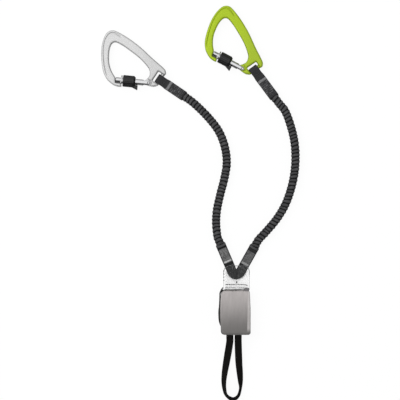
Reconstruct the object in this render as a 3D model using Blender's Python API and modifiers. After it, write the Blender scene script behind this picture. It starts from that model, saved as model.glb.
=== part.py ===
# Via ferrata lanyard laid out flat. Two elastic arms with locking carabiners meet at a webbing
# energy absorber in a pouch, and a tie-in loop leaves the other end of the pouch.
# The origin is the middle of the pouch's underside, +Y runs to the carabiners and +Z is up.

import math

import bmesh
import bpy
import numpy as np
from mathutils import Matrix, Vector

MM = 0.001

# Clearances and cutting
SEAT_GAP = 0.3 * MM  # between pieces that rest on each other
RUN_GAP = 0.25 * MM  # round the gate, under the locking sleeve
SWEEP_GAP = 0.4 * MM  # beside what swings with the gate
CUT_OVERRUN = 6 * MM  # how far a cutter runs past what it cuts
WELD_DISTANCE = 0.01 * MM
ROUND_SIDES = 24
PIN_SIDES = 16
OUTLINE_STEPS = 3

# Carabiner frame, seen with the gate along X and its pivot at the origin
FRAME_LENGTH = 107 * MM
FRAME_HEIGHT = 89 * MM
FRAME_THICKNESS = 11 * MM
FRAME_EDGE = 2 * MM
TANG_THICKNESS = 5 * MM
TANG_RADIUS = 4.8 * MM  # from the pivot to the plunger's seat on the tang
TANG_FOOT_RADIUS = 4.4 * MM
TONGUE_THICKNESS = 4.4 * MM
NOSE_STRIP_DEPTH = 5 * MM
NOSE_WALL_SHARE = 0.497
NOSE_WALL_TOP_SHARE = 0.039
CAM_RISE = 1.6 * MM  # how far the tang pushes the plunger back over the gate's swing
CAM_START = math.radians(-14)
CAM_END = math.radians(42)

# Points of the frame's outline as shares of its length and height, from the gate's pivot
OUTER_SHARES = [
    (-0.445, -0.113), (-0.507, -0.099), (-0.572, -0.054), (-0.633, 0.011), (-0.693, 0.135),
    (-0.731, 0.315), (-0.750, 0.517), (-0.736, 0.697), (-0.689, 0.837), (-0.609, 0.888),
    (-0.516, 0.860), (-0.348, 0.764), (-0.161, 0.624), (0.026, 0.449), (0.166, 0.329),
    (0.232, 0.262), (0.250, 0.200),
]
INNER_SHARES = [
    (-0.030, 0.072), (-0.004, 0.112), (0.007, 0.157), (0.000, 0.213), (-0.030, 0.281),
    (-0.161, 0.427), (-0.348, 0.571), (-0.441, 0.633), (-0.530, 0.678), (-0.575, 0.672),
    (-0.607, 0.629), (-0.625, 0.539), (-0.626, 0.427), (-0.615, 0.315), (-0.589, 0.213),
    (-0.551, 0.124),
]
HEEL_SHARES = [(0.129, -0.038), (0.082, -0.057), (0.040, -0.054)]

# Webbing slot and bar at the frame's small end: the bar runs along the slot
BAR_HEADING = math.radians(62)
BAR_RADIUS = 3.2 * MM
BAR_EMBED = 2.2 * MM
BAR_REACH_SHARE = 0.110  # from the pivot to the bar, across it, as a share of the frame's length
SLOT_START_SHARE = 0.061
SLOT_LENGTH = 18 * MM
SLOT_DEPTH = 8.8 * MM  # from the bar's middle to the slot's far side

# Gate
GATE_RADIUS = 4.7 * MM
GATE_SWING = math.radians(28)
GATE_BORE_RADIUS = 3.6 * MM
GATE_BORE_END = 22.3 * MM
GATE_BORE_START = 3 * MM
TIP_FLOOR = 1.0 * MM
TIP_EDGE = 0.8 * MM
COLLAR_RADIUS = 7 * MM
COLLAR_THICKNESS = 1.2 * MM
COLLAR_SETBACK = 15 * MM  # behind the sleeve's front face
RIVET_RADIUS = 1.5 * MM
RIVET_EDGE = 0.3 * MM

# Ring in front of the sleeve, and the locking sleeve with its finger hook
TIP_LENGTH = 8.6 * MM
RING_RADIUS = 8.6 * MM
RING_THICKNESS = 1.8 * MM
SLEEVE_RADIUS = 9.4 * MM
SLEEVE_LENGTH = 21 * MM
SLEEVE_TRAVEL = 8 * MM
SLEEVE_FRONT_WALL = 1.6 * MM
SLEEVE_REAR_WALL = 1.8 * MM
SLEEVE_EDGE = 0.9 * MM
SLEEVE_REAR_EDGE = 2.4 * MM
CHAMBER_RADIUS = 7.6 * MM
HOOK_REACH = 12.6 * MM
HOOK_LENGTH = 10.5 * MM
HOOK_OVERHANG = 4.2 * MM
HOOK_WIDTH = 9 * MM

# Plunger and springs
PLUNGER_TIP_RADIUS = 1 * MM
PLUNGER_TIP_LENGTH = 3.8 * MM
PLUNGER_DISC_RADIUS = 3.2 * MM
PLUNGER_DISC_THICKNESS = 1.5 * MM
PLUNGER_PILOT_RADIUS = 1.4 * MM
PLUNGER_PILOT_LENGTH = 2.6 * MM
GATE_SPRING_RADIUS = 2.5 * MM
GATE_SPRING_WIRE = 0.45 * MM
GATE_SPRING_CURLS = 6
SLEEVE_SPRING_RADIUS = 6.05 * MM
SLEEVE_SPRING_WIRE = 0.5 * MM
SLEEVE_SPRING_CURLS = 5
POINTS_PER_CURL = 8

# Where the two carabiners lie, and how they are turned
CARABINER_PLACES = {
    "left": (-138.3 * MM, 366.5 * MM, math.radians(-5.3)),
    "right": (11.9 * MM, 389.4 * MM, math.radians(-27.6)),
}

# End strap of each arm, looped round the frame's bar
END_STRAP_WIDTH = 15.2 * MM
END_STRAP_LENGTHS = {"left": 46.3 * MM, "right": 53.3 * MM}  # from the bar, seen from above
END_STRAP_HEADINGS = {"left": math.radians(-34.1), "right": math.radians(-53.3)}
END_WEB_THICKNESS = 1.6 * MM
LOOP_CLEARANCE = 0.7 * MM
STRAP_PLACE = 0.4 * MM  # from the slot's end by the gate to the strap's edge
LOOP_NECK = 9.5 * MM
LOOP_STEPS = 10
TACK_LENGTH = 4 * MM
TACK_WIDTH = 11 * MM
TACK_THICKNESS = 0.6 * MM
TACK_PLACE = 20 * MM

# Ribbed elastic webbing of the arms
SHEATH_RADIUS = 6.7 * MM
RIB_VALLEY_RADIUS = 5.9 * MM
SHEATH_BORE_RADIUS = 3.6 * MM
CORE_RADIUS = 2.9 * MM
RIB_PITCH = 5.8 * MM
BORE_STEP = 10 * MM
END_RUN = 13.4 * MM  # the straight run at each end of a ribbed stretch

# Root straps, which lie on each other at the V
ROOT_WIDTH = 15 * MM
ROOT_THICKNESS = 2.6 * MM
ROOT_EDGE = 1.2 * MM
ROOT_PIVOTS = {"left": (-2.1 * MM, 60.2 * MM), "right": (6.8 * MM, 60.2 * MM)}
ROOT_ENDS = {"left": (-21.8 * MM, 106.6 * MM), "right": (30.8 * MM, 103.0 * MM)}
LABEL_LENGTH = 25 * MM
LABEL_WIDTH = 13.2 * MM
LABEL_THICKNESS = 0.7 * MM
LABEL_PLACES = {"left": 33 * MM, "right": 29.6 * MM}

# Routes of the ribbed stretches between their straight ends, from the carabiner to the V
ARM_ROUTES = {
    "left": [
        (-59.5 * MM, 327.8 * MM, 6.8 * MM), (-41.6 * MM, 309.4 * MM, 6.8 * MM),
        (-26.2 * MM, 288.8 * MM, 6.8 * MM), (-17.0 * MM, 264.8 * MM, 6.8 * MM),
        (-13.5 * MM, 239.2 * MM, 6.8 * MM), (-17.0 * MM, 214.0 * MM, 6.8 * MM),
        (-23.4 * MM, 189.0 * MM, 6.8 * MM), (-28.8 * MM, 164.0 * MM, 6.8 * MM),
        (-30.2 * MM, 142.0 * MM, 7.6 * MM),
    ],
    "right": [
        (79.8 * MM, 320.4 * MM, 6.8 * MM), (89.6 * MM, 296.8 * MM, 6.8 * MM),
        (95.2 * MM, 272.0 * MM, 6.8 * MM), (96.8 * MM, 246.4 * MM, 6.8 * MM),
        (94.8 * MM, 220.8 * MM, 6.8 * MM), (89.2 * MM, 195.8 * MM, 6.8 * MM),
        (80.3 * MM, 171.8 * MM, 6.8 * MM), (67.2 * MM, 149.8 * MM, 6.8 * MM),
        (50.9 * MM, 130.2 * MM, 6.8 * MM),
    ],
}

# Pouch: a tray and a front cover cut from one rounded block
POUCH_WIDTH = 47.4 * MM
POUCH_OFFSET = 1.2 * MM  # to the right of the origin
POUCH_LENGTH = 71.2 * MM
POUCH_THICKNESS = 22.4 * MM
POUCH_WALL = 1.6 * MM
POUCH_CORNER = 5 * MM
POUCH_EDGE = 3 * MM
CORNER_STEPS = 4
MOUTH_GAP = 0.3 * MM
BINDING_DEPTH = 1 * MM
BINDING_HEIGHT = 2.6 * MM
PULL_TAB_WIDTH = 12.4 * MM
PULL_TAB_LENGTH = 2.4 * MM
PULL_TAB_THICKNESS = 1.6 * MM
BINDING_LENGTH = 27 * MM
GUSSET_HEIGHT = 15 * MM
GUSSET_FOOT = 2 * MM
GUSSET_BULGE = 3 * MM
GUSSET_LENGTH = 62 * MM
GUSSET_SPUR = 5 * MM
GUSSET_SPUR_REACH = 3.8 * MM

# Absorber webbing folded in the pouch, its free end under the V, and the stitch rows on it
ABSORBER_WIDTH = 36.2 * MM
ABSORBER_OFFSET = 2.4 * MM
ABSORBER_WEB = 2.6 * MM
ABSORBER_FLOOR = 2.6 * MM
LAYER_GAP = 0.6 * MM
LAYER_COUNT = 5
FOLD_MARGIN = 8.6 * MM  # from the pouch's ends to the middle of the webbing's folds
FOLD_STEPS = 4
TAB_REACH = 66 * MM
LAST_LAYER_END = 5 * MM
STITCH_ROWS = {"upper": 44.5 * MM, "lower": 39.8 * MM}
STITCH_ROW_LENGTH = 33 * MM
STITCH_ROW_WIDTH = 1.2 * MM
STITCH_ROW_HEIGHT = 0.5 * MM

# Clear sleeve over the V
CLEAR_SIDE_MARGIN = 2.7 * MM  # past the webbing's edges
CLEAR_TOP = 74.8 * MM
CLEAR_WALL = 0.8 * MM
CLEAR_CORNER = 9.6 * MM
CLEAR_SEAM_END = 51.5 * MM  # the sides are joined up to here

# Tie-in webbing
TIE_WIDTH = 11.2 * MM
TIE_THICKNESS = 2.4 * MM
TIE_EDGE = 1.1 * MM
TIE_LEG_PLACES = {"left": -8.1 * MM, "right": 4.9 * MM}
TIE_HINGE_REACH = 3.1 * MM  # from the pouch's end to the fold of the loop
TIE_YOKE_END = 18 * MM
TIE_LOOP_EDGE = 0.5 * MM
# Middle line of the loop: across, along, height, and how far the webbing stands on its edge
TIE_ROUTE = [
    (-9.8 * MM, -58.0 * MM, 12.8 * MM, math.radians(5)),
    (-12.2 * MM, -71.0 * MM, 9.8 * MM, math.radians(18)),
    (-14.4 * MM, -84.0 * MM, 7.9 * MM, math.radians(32)),
    (-16.4 * MM, -97.0 * MM, 6.8 * MM, math.radians(42)),
    (-17.7 * MM, -110.0 * MM, 6.2 * MM, math.radians(54)),
    (-17.0 * MM, -122.0 * MM, 5.9 * MM, math.radians(66)),
    (-13.2 * MM, -132.6 * MM, 5.8 * MM, math.radians(80)),
    (-4.6 * MM, -138.4 * MM, 5.8 * MM, math.radians(88)),
    (4.0 * MM, -134.0 * MM, 5.8 * MM, math.radians(80)),
    (8.4 * MM, -122.0 * MM, 5.9 * MM, math.radians(66)),
    (8.8 * MM, -110.0 * MM, 6.2 * MM, math.radians(54)),
    (7.8 * MM, -97.0 * MM, 6.8 * MM, math.radians(42)),
    (6.6 * MM, -84.0 * MM, 7.9 * MM, math.radians(30)),
    (5.8 * MM, -71.0 * MM, 9.8 * MM, math.radians(16)),
    (5.3 * MM, -58.0 * MM, 12.8 * MM, math.radians(5)),
]
TIE_STEPS = 2

SIDES = ("left", "right")
COLOURS = {
    "left": (0.62, 0.63, 0.64),
    "right": (0.36, 0.58, 0.03),
}


# Scene, collections and materials


def clear_scene():
    for item in list(bpy.data.objects):
        bpy.data.objects.remove(item, do_unlink=True)


def new_collection(name):
    collection = bpy.data.collections.new(name)
    bpy.context.scene.collection.children.link(collection)
    return collection


def paint(piece, colour, roughness, metallic=0.0, alpha=1.0):
    material = bpy.data.materials.new(piece.name)
    material.use_nodes = True
    shader = material.node_tree.nodes["Principled BSDF"]
    shader.inputs["Base Color"].default_value = (*colour, 1.0)
    shader.inputs["Roughness"].default_value = roughness
    shader.inputs["Metallic"].default_value = metallic
    shader.inputs["Alpha"].default_value = alpha
    piece.data.materials.clear()
    piece.data.materials.append(material)


# Placing


def frame_matrix(place, x_axis, y_axis):
    """World matrix from a place and two axes at right angles."""
    x_axis = Vector(x_axis).normalized()
    y_axis = Vector(y_axis).normalized()
    z_axis = x_axis.cross(y_axis)
    turn = Matrix((x_axis, y_axis, z_axis)).transposed().to_4x4()
    return Matrix.Translation(Vector(place)) @ turn


def put(piece, world, parent=None):
    """Sets a piece at a world matrix and hangs it from a parent that was placed the same way."""
    piece.matrix_basis = world
    if parent:
        piece.parent = parent
        piece.matrix_parent_inverse = parent.matrix_basis.inverted()
    return piece


def joint_empty(name, world, parent=None):
    empty = bpy.data.objects.new(name, None)
    parts.objects.link(empty)
    return put(empty, world, parent)


# Shapes


def add_object(name, data, as_cutter=False):
    piece = bpy.data.objects.new(name, data)
    (cutters if as_cutter else parts).objects.link(piece)
    if as_cutter:
        piece.hide_render = True
        piece.display_type = "WIRE"
    return piece


def smooth_shade(mesh):
    mesh.shade_smooth()
    mesh.set_sharp_from_angle(angle=math.radians(35))


def curve_to_mesh(curve, name, as_cutter=False):
    """Makes a curve a mesh with its caps welded on, and keeps its place."""
    holder = bpy.data.objects.new(name + "_curve", curve)
    bpy.context.scene.collection.objects.link(holder)
    bpy.context.view_layer.update()
    shaped = holder.evaluated_get(bpy.context.evaluated_depsgraph_get())
    mesh = bpy.data.meshes.new_from_object(shaped)
    mesh.name = name
    body = bmesh.new()
    body.from_mesh(mesh)
    bmesh.ops.remove_doubles(body, verts=body.verts, dist=WELD_DISTANCE)
    bmesh.ops.recalc_face_normals(body, faces=body.faces)
    body.to_mesh(mesh)
    body.free()
    piece = add_object(name, mesh, as_cutter)
    piece.matrix_world = holder.matrix_world
    bpy.data.objects.remove(holder, do_unlink=True)
    smooth_shade(mesh)
    return piece


def plate(name, outlines, thickness, edge=0.0, edge_steps=1, as_cutter=False):
    """A flat piece between z = -thickness / 2 and +thickness / 2, with rounded edges."""
    curve = bpy.data.curves.new(name, "CURVE")
    curve.dimensions = "2D"
    curve.fill_mode = "BOTH"
    curve.extrude = thickness / 2 - edge
    curve.bevel_depth = edge
    curve.offset = -edge
    curve.bevel_resolution = edge_steps
    for outline in outlines:
        spline = curve.splines.new("POLY")
        spline.points.add(len(outline) - 1)
        for point, (x, y) in zip(spline.points, outline):
            point.co = (x, y, 0, 1)
        spline.use_cyclic_u = True
    return curve_to_mesh(curve, name, as_cutter)


def block(name, low, high, as_cutter=False):
    """A box between two corners."""
    body = bmesh.new()
    bmesh.ops.create_cube(body, size=1)
    low, high = Vector(low), Vector(high)
    bmesh.ops.scale(body, vec=high - low, verts=body.verts)
    bmesh.ops.translate(body, vec=(low + high) / 2, verts=body.verts)
    mesh = bpy.data.meshes.new(name)
    body.to_mesh(mesh)
    body.free()
    return add_object(name, mesh, as_cutter)


def rod(name, radius, low, high, sides=PIN_SIDES, as_cutter=False):
    """A cylinder along Z."""
    body = bmesh.new()
    bmesh.ops.create_cone(
        body, cap_ends=True, segments=sides, radius1=radius, radius2=radius, depth=high - low
    )
    bmesh.ops.translate(body, vec=(0, 0, (low + high) / 2), verts=body.verts)
    mesh = bpy.data.meshes.new(name)
    body.to_mesh(mesh)
    body.free()
    smooth_shade(mesh)
    return add_object(name, mesh, as_cutter)


def turned(name, profile, sides=ROUND_SIDES, closed=False):
    """A profile of (radius, height) points, run from top to bottom, turned about Z."""
    mesh = bpy.data.meshes.new(name)
    count = len(profile)
    edges = [(i, i + 1) for i in range(count - 1)]
    if closed:
        edges.append((count - 1, 0))
    mesh.from_pydata([(r, 0, z) for r, z in profile], edges, [])
    piece = add_object(name, mesh)
    screw = piece.modifiers.new("Turn", "SCREW")
    screw.axis = "Z"
    screw.angle = 2 * math.pi
    screw.steps = screw.render_steps = sides
    screw.use_merge_vertices = True
    screw.merge_threshold = WELD_DISTANCE
    screw.use_smooth_shade = False
    return piece


def tube(name, points, radius, sides_level=2, radii=None):
    """A round bar along points, with its own radius at each point if radii says so."""
    curve = bpy.data.curves.new(name, "CURVE")
    curve.dimensions = "3D"
    curve.bevel_depth = radius
    curve.bevel_resolution = sides_level
    curve.use_fill_caps = True
    spline = curve.splines.new("POLY")
    spline.points.add(len(points) - 1)
    for i, place in enumerate(points):
        spline.points[i].co = (*place, 1)
        spline.points[i].radius = radii[i] / radius if radii is not None else 1.0
    spline.use_smooth = True
    return curve


def combine(piece, tool, operation):
    modifier = piece.modifiers.new(operation.title(), "BOOLEAN")
    modifier.object = tool
    modifier.operation = operation
    modifier.solver = "EXACT"


def arc(centre, radius, start, end, steps):
    """Points on an arc, both ends included."""
    angles = np.linspace(start, end, steps + 1)
    return [(centre[0] + radius * math.cos(a), centre[1] + radius * math.sin(a)) for a in angles]


def smooth_run(points, steps):
    """Points on a smooth curve (Catmull-Rom) through the given ones, ends included."""
    p = np.array(points, float)
    p = np.vstack([2 * p[0] - p[1], p, 2 * p[-1] - p[-2]])
    run = []
    for i in range(1, len(p) - 2):
        for t in np.arange(steps) / steps:
            a = 2 * p[i]
            b = (p[i + 1] - p[i - 1]) * t
            c = (2 * p[i - 1] - 5 * p[i] + 4 * p[i + 1] - p[i + 2]) * t**2
            d = (3 * p[i] - p[i - 1] - 3 * p[i + 1] + p[i + 2]) * t**3
            run.append((a + b + c + d) / 2)
    run.append(p[-2])
    return np.array(run)


def even_points(points, count):
    """The given number of points, evenly spaced along a path."""
    lengths = np.linalg.norm(np.diff(points, axis=0), axis=1)
    along = np.concatenate([[0], np.cumsum(lengths)])
    wanted = np.linspace(0, along[-1], count)
    return np.column_stack([np.interp(wanted, along, points[:, k]) for k in range(3)]), along[-1]


def rounded_rectangle(width, length, corner, steps):
    outline = []
    for sign_x, sign_y, start in ((1, 1, 0), (-1, 1, 90), (-1, -1, 180), (1, -1, 270)):
        centre = (sign_x * (width / 2 - corner), sign_y * (length / 2 - corner))
        outline += arc(centre, corner, math.radians(start), math.radians(start + 90), steps)
    return outline


def thick_outline(path, thickness):
    """The outline of a strip of even thickness along a 2D path."""
    p = np.array(path)
    runs = np.diff(p, axis=0)
    runs /= np.linalg.norm(runs, axis=1)[:, None]
    before = np.vstack([runs[:1], runs])
    after = np.vstack([runs, runs[-1:]])
    mitre = before + after
    mitre /= np.linalg.norm(mitre, axis=1)[:, None]
    stretch = 1 / np.sum(mitre * after, axis=1)
    normal = np.column_stack([-mitre[:, 1], mitre[:, 0]]) * stretch[:, None]
    left = p + normal * thickness / 2
    right = p - normal * thickness / 2
    return [tuple(q) for q in np.vstack([left, right[::-1]])]


# Carabiner sizes that follow from the values above, along the gate from its pivot


def along_bar(across, along):
    """A point of the frame from its distance across the bar and its distance along it."""
    normal = (math.sin(BAR_HEADING), -math.cos(BAR_HEADING))
    run = (math.cos(BAR_HEADING), math.sin(BAR_HEADING))
    return (across * normal[0] + along * run[0], across * normal[1] + along * run[1])


NOSE_WALL = NOSE_WALL_SHARE * FRAME_LENGTH
TIP_END = NOSE_WALL - SEAT_GAP
RING_FRONT = TIP_END - TIP_LENGTH
RING_BACK = RING_FRONT - RING_THICKNESS
SLEEVE_FRONT = RING_BACK - SEAT_GAP
SLEEVE_REAR = SLEEVE_FRONT - SLEEVE_LENGTH
CHAMBER_FRONT = SLEEVE_FRONT - SLEEVE_FRONT_WALL
CHAMBER_REAR = SLEEVE_REAR + SLEEVE_REAR_WALL
COLLAR_FRONT = SLEEVE_FRONT - COLLAR_SETBACK
COLLAR_BACK = COLLAR_FRONT - COLLAR_THICKNESS
TONGUE_TOP = TIP_FLOOR + SEAT_GAP
NOSE_STRIP_TOP = GATE_RADIUS + SEAT_GAP
TONGUE_END = math.hypot(RING_FRONT, GATE_RADIUS) + SEAT_GAP
NOSE_SWEEP = math.hypot(SLEEVE_FRONT, SLEEVE_RADIUS) + SWEEP_GAP
PIVOT_SWEEP = GATE_RADIUS + SWEEP_GAP
FORK_WIDTH = TANG_THICKNESS + 2 * SEAT_GAP
FORK_DEPTH = TANG_RADIUS + CAM_RISE * CAM_END / GATE_SWING + 2 * SWEEP_GAP
BAR_REACH = BAR_REACH_SHARE * FRAME_LENGTH
SLOT_START = SLOT_START_SHARE * FRAME_LENGTH
SLOT_END = SLOT_START + SLOT_LENGTH
SLOT_BOTTOM = BAR_REACH - SLOT_DEPTH
EAR_EDGE = BAR_REACH + BAR_RADIUS


def cam_radius(angle):
    """The tang grows from the plunger's seat at a steady rate as the gate swings in."""
    return TANG_RADIUS + CAM_RISE * angle / GATE_SWING


def frame_outline():
    size = np.array([FRAME_LENGTH, FRAME_HEIGHT])
    nose_low = OUTER_SHARES[0][1] * FRAME_HEIGHT
    nose_end = [
        (-math.sqrt(NOSE_SWEEP**2 - NOSE_STRIP_TOP**2), -NOSE_STRIP_TOP),
        (-math.sqrt(NOSE_SWEEP**2 - nose_low**2), nose_low),
    ]
    outer = [tuple(q) for q in smooth_run(np.array(OUTER_SHARES) * size, OUTLINE_STEPS)]
    ears = [
        along_bar(EAR_EDGE, SLOT_END),
        along_bar(SLOT_BOTTOM, SLOT_END),
        along_bar(SLOT_BOTTOM, SLOT_START),
        along_bar(EAR_EDGE, SLOT_START),
    ]
    heel = [tuple(q) for q in np.array(HEEL_SHARES) * size]
    foot = arc((0, 0), TANG_FOOT_RADIUS, math.radians(-90), math.radians(-140), 2)
    cam = []
    for angle in np.linspace(CAM_START, CAM_END, 6):
        reach = cam_radius(angle)
        cam.append((-reach * math.cos(angle), reach * math.sin(angle)))
    inner = [tuple(q) for q in smooth_run(np.array(INNER_SHARES) * size, OUTLINE_STEPS)]
    nose = [
        (-NOSE_WALL, NOSE_WALL_TOP_SHARE * FRAME_HEIGHT),
        (-NOSE_WALL, -TONGUE_TOP),
        (-TONGUE_END, -TONGUE_TOP),
        (-TONGUE_END, -NOSE_STRIP_TOP),
    ]
    return nose_end[1:] + outer + ears + heel + foot + cam + inner + nose + nose_end[:1]


def swept_gate_outline():
    """What the gate's forked end passes over as it swings in, with its clearance."""
    turn = math.radians(90) - GATE_SWING
    run = Vector((-math.cos(GATE_SWING), math.sin(GATE_SWING)))
    corner = Vector((PIVOT_SWEEP * math.cos(turn), PIVOT_SWEEP * math.sin(turn)))
    far = corner + run * (FORK_DEPTH + CUT_OVERRUN)
    around = arc((0, 0), PIVOT_SWEEP, math.radians(-90), turn, 12)
    return around + [tuple(far), (far.x, -PIVOT_SWEEP)]


def make_frame(side, place):
    frame = plate(f"{side}_frame", [frame_outline()], FRAME_THICKNESS, FRAME_EDGE)
    reach = FRAME_THICKNESS / 2 + CUT_OVERRUN
    for face in (1, -1):
        depth = reach - TANG_THICKNESS / 2
        tool = plate(f"{side}_tang_cut", [swept_gate_outline()], depth, as_cutter=True)
        shift = Matrix.Translation((0, 0, face * (TANG_THICKNESS + depth) / 2))
        put(tool, place.matrix_basis @ shift, place)
        combine(frame, tool, "DIFFERENCE")
        low, high = sorted((face * TONGUE_THICKNESS / 2, face * reach))
        tool = block(
            f"{side}_tongue_cut",
            (-NOSE_WALL, -NOSE_STRIP_TOP, low),
            (-RING_FRONT + CUT_OVERRUN, CUT_OVERRUN, high),
            as_cutter=True,
        )
        put(tool, place.matrix_basis, place)
        combine(frame, tool, "DIFFERENCE")
    bar = rod(
        f"{side}_bar", BAR_RADIUS, SLOT_START - BAR_EMBED, SLOT_END + BAR_EMBED, as_cutter=True
    )
    put(bar, bar_matrix(place, 0), place)
    combine(frame, bar, "UNION")
    hole = rod(f"{side}_tang_hole", RIVET_RADIUS + SEAT_GAP, -reach, reach, as_cutter=True)
    put(hole, place.matrix_basis, place)
    combine(frame, hole, "DIFFERENCE")
    put(frame, place.matrix_basis, place)
    if side == "left":
        paint(frame, COLOURS[side], 0.3, metallic=0.9)
    else:
        paint(frame, COLOURS[side], 0.35, metallic=0.3)


def bar_matrix(place, along):
    """A frame on the bar's axis, its Z along the bar and its X across it, away from the gate."""
    across = Vector((*along_bar(1, 0), 0))
    run = Vector((*along_bar(0, 1), 0))
    centre = (*along_bar(BAR_REACH, along), 0)
    return place.matrix_basis @ frame_matrix(centre, across, run.cross(across))


def make_gate(side, hinge, world):
    profile = [(0, TIP_END), (GATE_RADIUS - TIP_EDGE, TIP_END), (GATE_RADIUS, TIP_END - TIP_EDGE)]
    profile += [(GATE_RADIUS, COLLAR_FRONT), (COLLAR_RADIUS, COLLAR_FRONT)]
    profile += [(COLLAR_RADIUS, COLLAR_BACK), (GATE_RADIUS, COLLAR_BACK)]
    profile += arc((0, 0), GATE_RADIUS, 0, -math.pi / 2, 5)
    profile[-1] = (0, profile[-1][1])
    gate = turned(f"{side}_gate", profile)
    wide = GATE_RADIUS + CUT_OVERRUN
    tools = [
        block(f"{side}_tip_cut", (-wide, -wide, RING_FRONT), (wide, -TIP_FLOOR, TIP_END + wide), True),
        block(
            f"{side}_fork_cut",
            (-FORK_WIDTH / 2, -wide, -wide),
            (FORK_WIDTH / 2, wide, FORK_DEPTH),
            True,
        ),
        rod(f"{side}_gate_bore", GATE_BORE_RADIUS, GATE_BORE_START, GATE_BORE_END, ROUND_SIDES, True),
    ]
    for tool in tools:
        put(tool, world, hinge)
        combine(gate, tool, "DIFFERENCE")
    hole = rod(f"{side}_gate_hole", RIVET_RADIUS + SEAT_GAP, -wide, wide, as_cutter=True)
    put(hole, world @ Matrix.Rotation(math.pi / 2, 4, "Y"), hinge)
    combine(gate, hole, "DIFFERENCE")
    put(gate, world, hinge)
    paint(gate, (0.6, 0.61, 0.62), 0.25, metallic=0.9)


def make_rivet(side, place):
    reach = math.sqrt(GATE_RADIUS**2 - RIVET_RADIUS**2)
    profile = [
        (0, reach),
        (RIVET_RADIUS - RIVET_EDGE, reach),
        (RIVET_RADIUS, reach - RIVET_EDGE),
        (RIVET_RADIUS, RIVET_EDGE - reach),
        (RIVET_RADIUS - RIVET_EDGE, -reach),
        (0, -reach),
    ]
    rivet = turned(f"{side}_gate_rivet", profile, PIN_SIDES)
    put(rivet, place.matrix_basis, place)
    paint(rivet, (0.5, 0.5, 0.5), 0.3, metallic=0.9)


def make_ring(side, hinge, world):
    hollow = GATE_RADIUS + RUN_GAP
    profile = [(RING_RADIUS, RING_FRONT), (RING_RADIUS, RING_BACK), (hollow, RING_BACK), (hollow, RING_FRONT)]
    ring = turned(f"{side}_front_ring", profile, closed=True)
    wide = RING_RADIUS + CUT_OVERRUN
    end = RING_FRONT + CUT_OVERRUN
    flat = block(f"{side}_ring_cut", (-wide, -wide, 0), (wide, -GATE_RADIUS, end), True)
    put(flat, world, hinge)
    combine(ring, flat, "DIFFERENCE")
    put(ring, world, hinge)
    paint(ring, (0.7, 0.7, 0.7), 0.25, metallic=0.9)


def make_sleeve(side, slide, world):
    bore = GATE_RADIUS + RUN_GAP
    profile = [
        (SLEEVE_RADIUS - SLEEVE_EDGE, SLEEVE_FRONT),
        (SLEEVE_RADIUS, SLEEVE_FRONT - SLEEVE_EDGE),
        (SLEEVE_RADIUS, SLEEVE_REAR + SLEEVE_REAR_EDGE),
        (CHAMBER_RADIUS, SLEEVE_REAR),
        (bore, SLEEVE_REAR),
        (bore, CHAMBER_REAR),
        (CHAMBER_RADIUS, CHAMBER_REAR),
        (CHAMBER_RADIUS, CHAMBER_FRONT),
        (bore, CHAMBER_FRONT),
        (bore, SLEEVE_FRONT),
    ]
    sleeve = turned(f"{side}_lock_sleeve", profile, closed=True)
    inner = bore + SEAT_GAP
    wall = (CHAMBER_RADIUS + SLEEVE_RADIUS) / 2
    rear_wall = (SLEEVE_REAR + CHAMBER_REAR) / 2
    hook_end = SLEEVE_REAR - HOOK_OVERHANG
    outline = [
        (-wall, SLEEVE_REAR + HOOK_LENGTH - HOOK_OVERHANG),
        (-HOOK_REACH, hook_end + SLEEVE_EDGE),
        (-HOOK_REACH, hook_end),
        (-inner, hook_end),
        (-inner, rear_wall),
        (-wall, rear_wall),
    ]
    hook = plate(f"{side}_hook", [[(y, z) for y, z in outline]], HOOK_WIDTH, as_cutter=True)
    upright = Matrix(((0, 0, 1, 0), (1, 0, 0, 0), (0, 1, 0, 0), (0, 0, 0, 1)))
    put(hook, world @ upright, slide)
    combine(sleeve, hook, "UNION")
    put(sleeve, world, slide)
    paint(sleeve, (0.02, 0.02, 0.022), 0.5)


def coil(name, radius, wire, low, high, curls):
    """A compression spring along Z. Prints the least gap between its turns."""
    count = curls * POINTS_PER_CURL
    angle = np.linspace(0, curls * 2 * math.pi, count + 1)
    height = np.linspace(low + wire, high - wire, count + 1)
    points = np.column_stack([radius * np.cos(angle), radius * np.sin(angle), height])
    apart = np.linalg.norm(points[:, None] - points[None], axis=2)
    steps = np.abs(np.arange(count + 1)[:, None] - np.arange(count + 1)[None])
    least = apart[steps > POINTS_PER_CURL / 2].min() - 2 * wire
    print(f"{name}: least gap to itself {least / MM:.2f} mm")
    spring = add_object(name, tube(name, points, wire, sides_level=1))
    paint(spring, (0.5, 0.5, 0.5), 0.3, metallic=0.9)
    return spring


def make_plunger(side, slide, world):
    tip = TANG_RADIUS + SEAT_GAP
    disc = tip + PLUNGER_TIP_LENGTH
    disc_end = disc + PLUNGER_DISC_THICKNESS
    pilot_end = disc_end + PLUNGER_PILOT_LENGTH
    dome = arc((0, tip + PLUNGER_TIP_RADIUS), PLUNGER_TIP_RADIUS, 0, -math.pi / 2, 3)
    dome[-1] = (0, tip)
    profile = [(0, pilot_end), (PLUNGER_PILOT_RADIUS, pilot_end), (PLUNGER_PILOT_RADIUS, disc_end)]
    profile += [(PLUNGER_DISC_RADIUS, disc_end), (PLUNGER_DISC_RADIUS, disc), (PLUNGER_TIP_RADIUS, disc)]
    plunger = turned(f"{side}_plunger", profile + dome, PIN_SIDES)
    put(plunger, world, slide)
    paint(plunger, (0.5, 0.45, 0.3), 0.35, metallic=0.9)
    spring = coil(
        f"{side}_gate_spring",
        GATE_SPRING_RADIUS,
        GATE_SPRING_WIRE,
        disc_end + SEAT_GAP,
        GATE_BORE_END - SEAT_GAP,
        GATE_SPRING_CURLS,
    )
    put(spring, world, slide)


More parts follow.
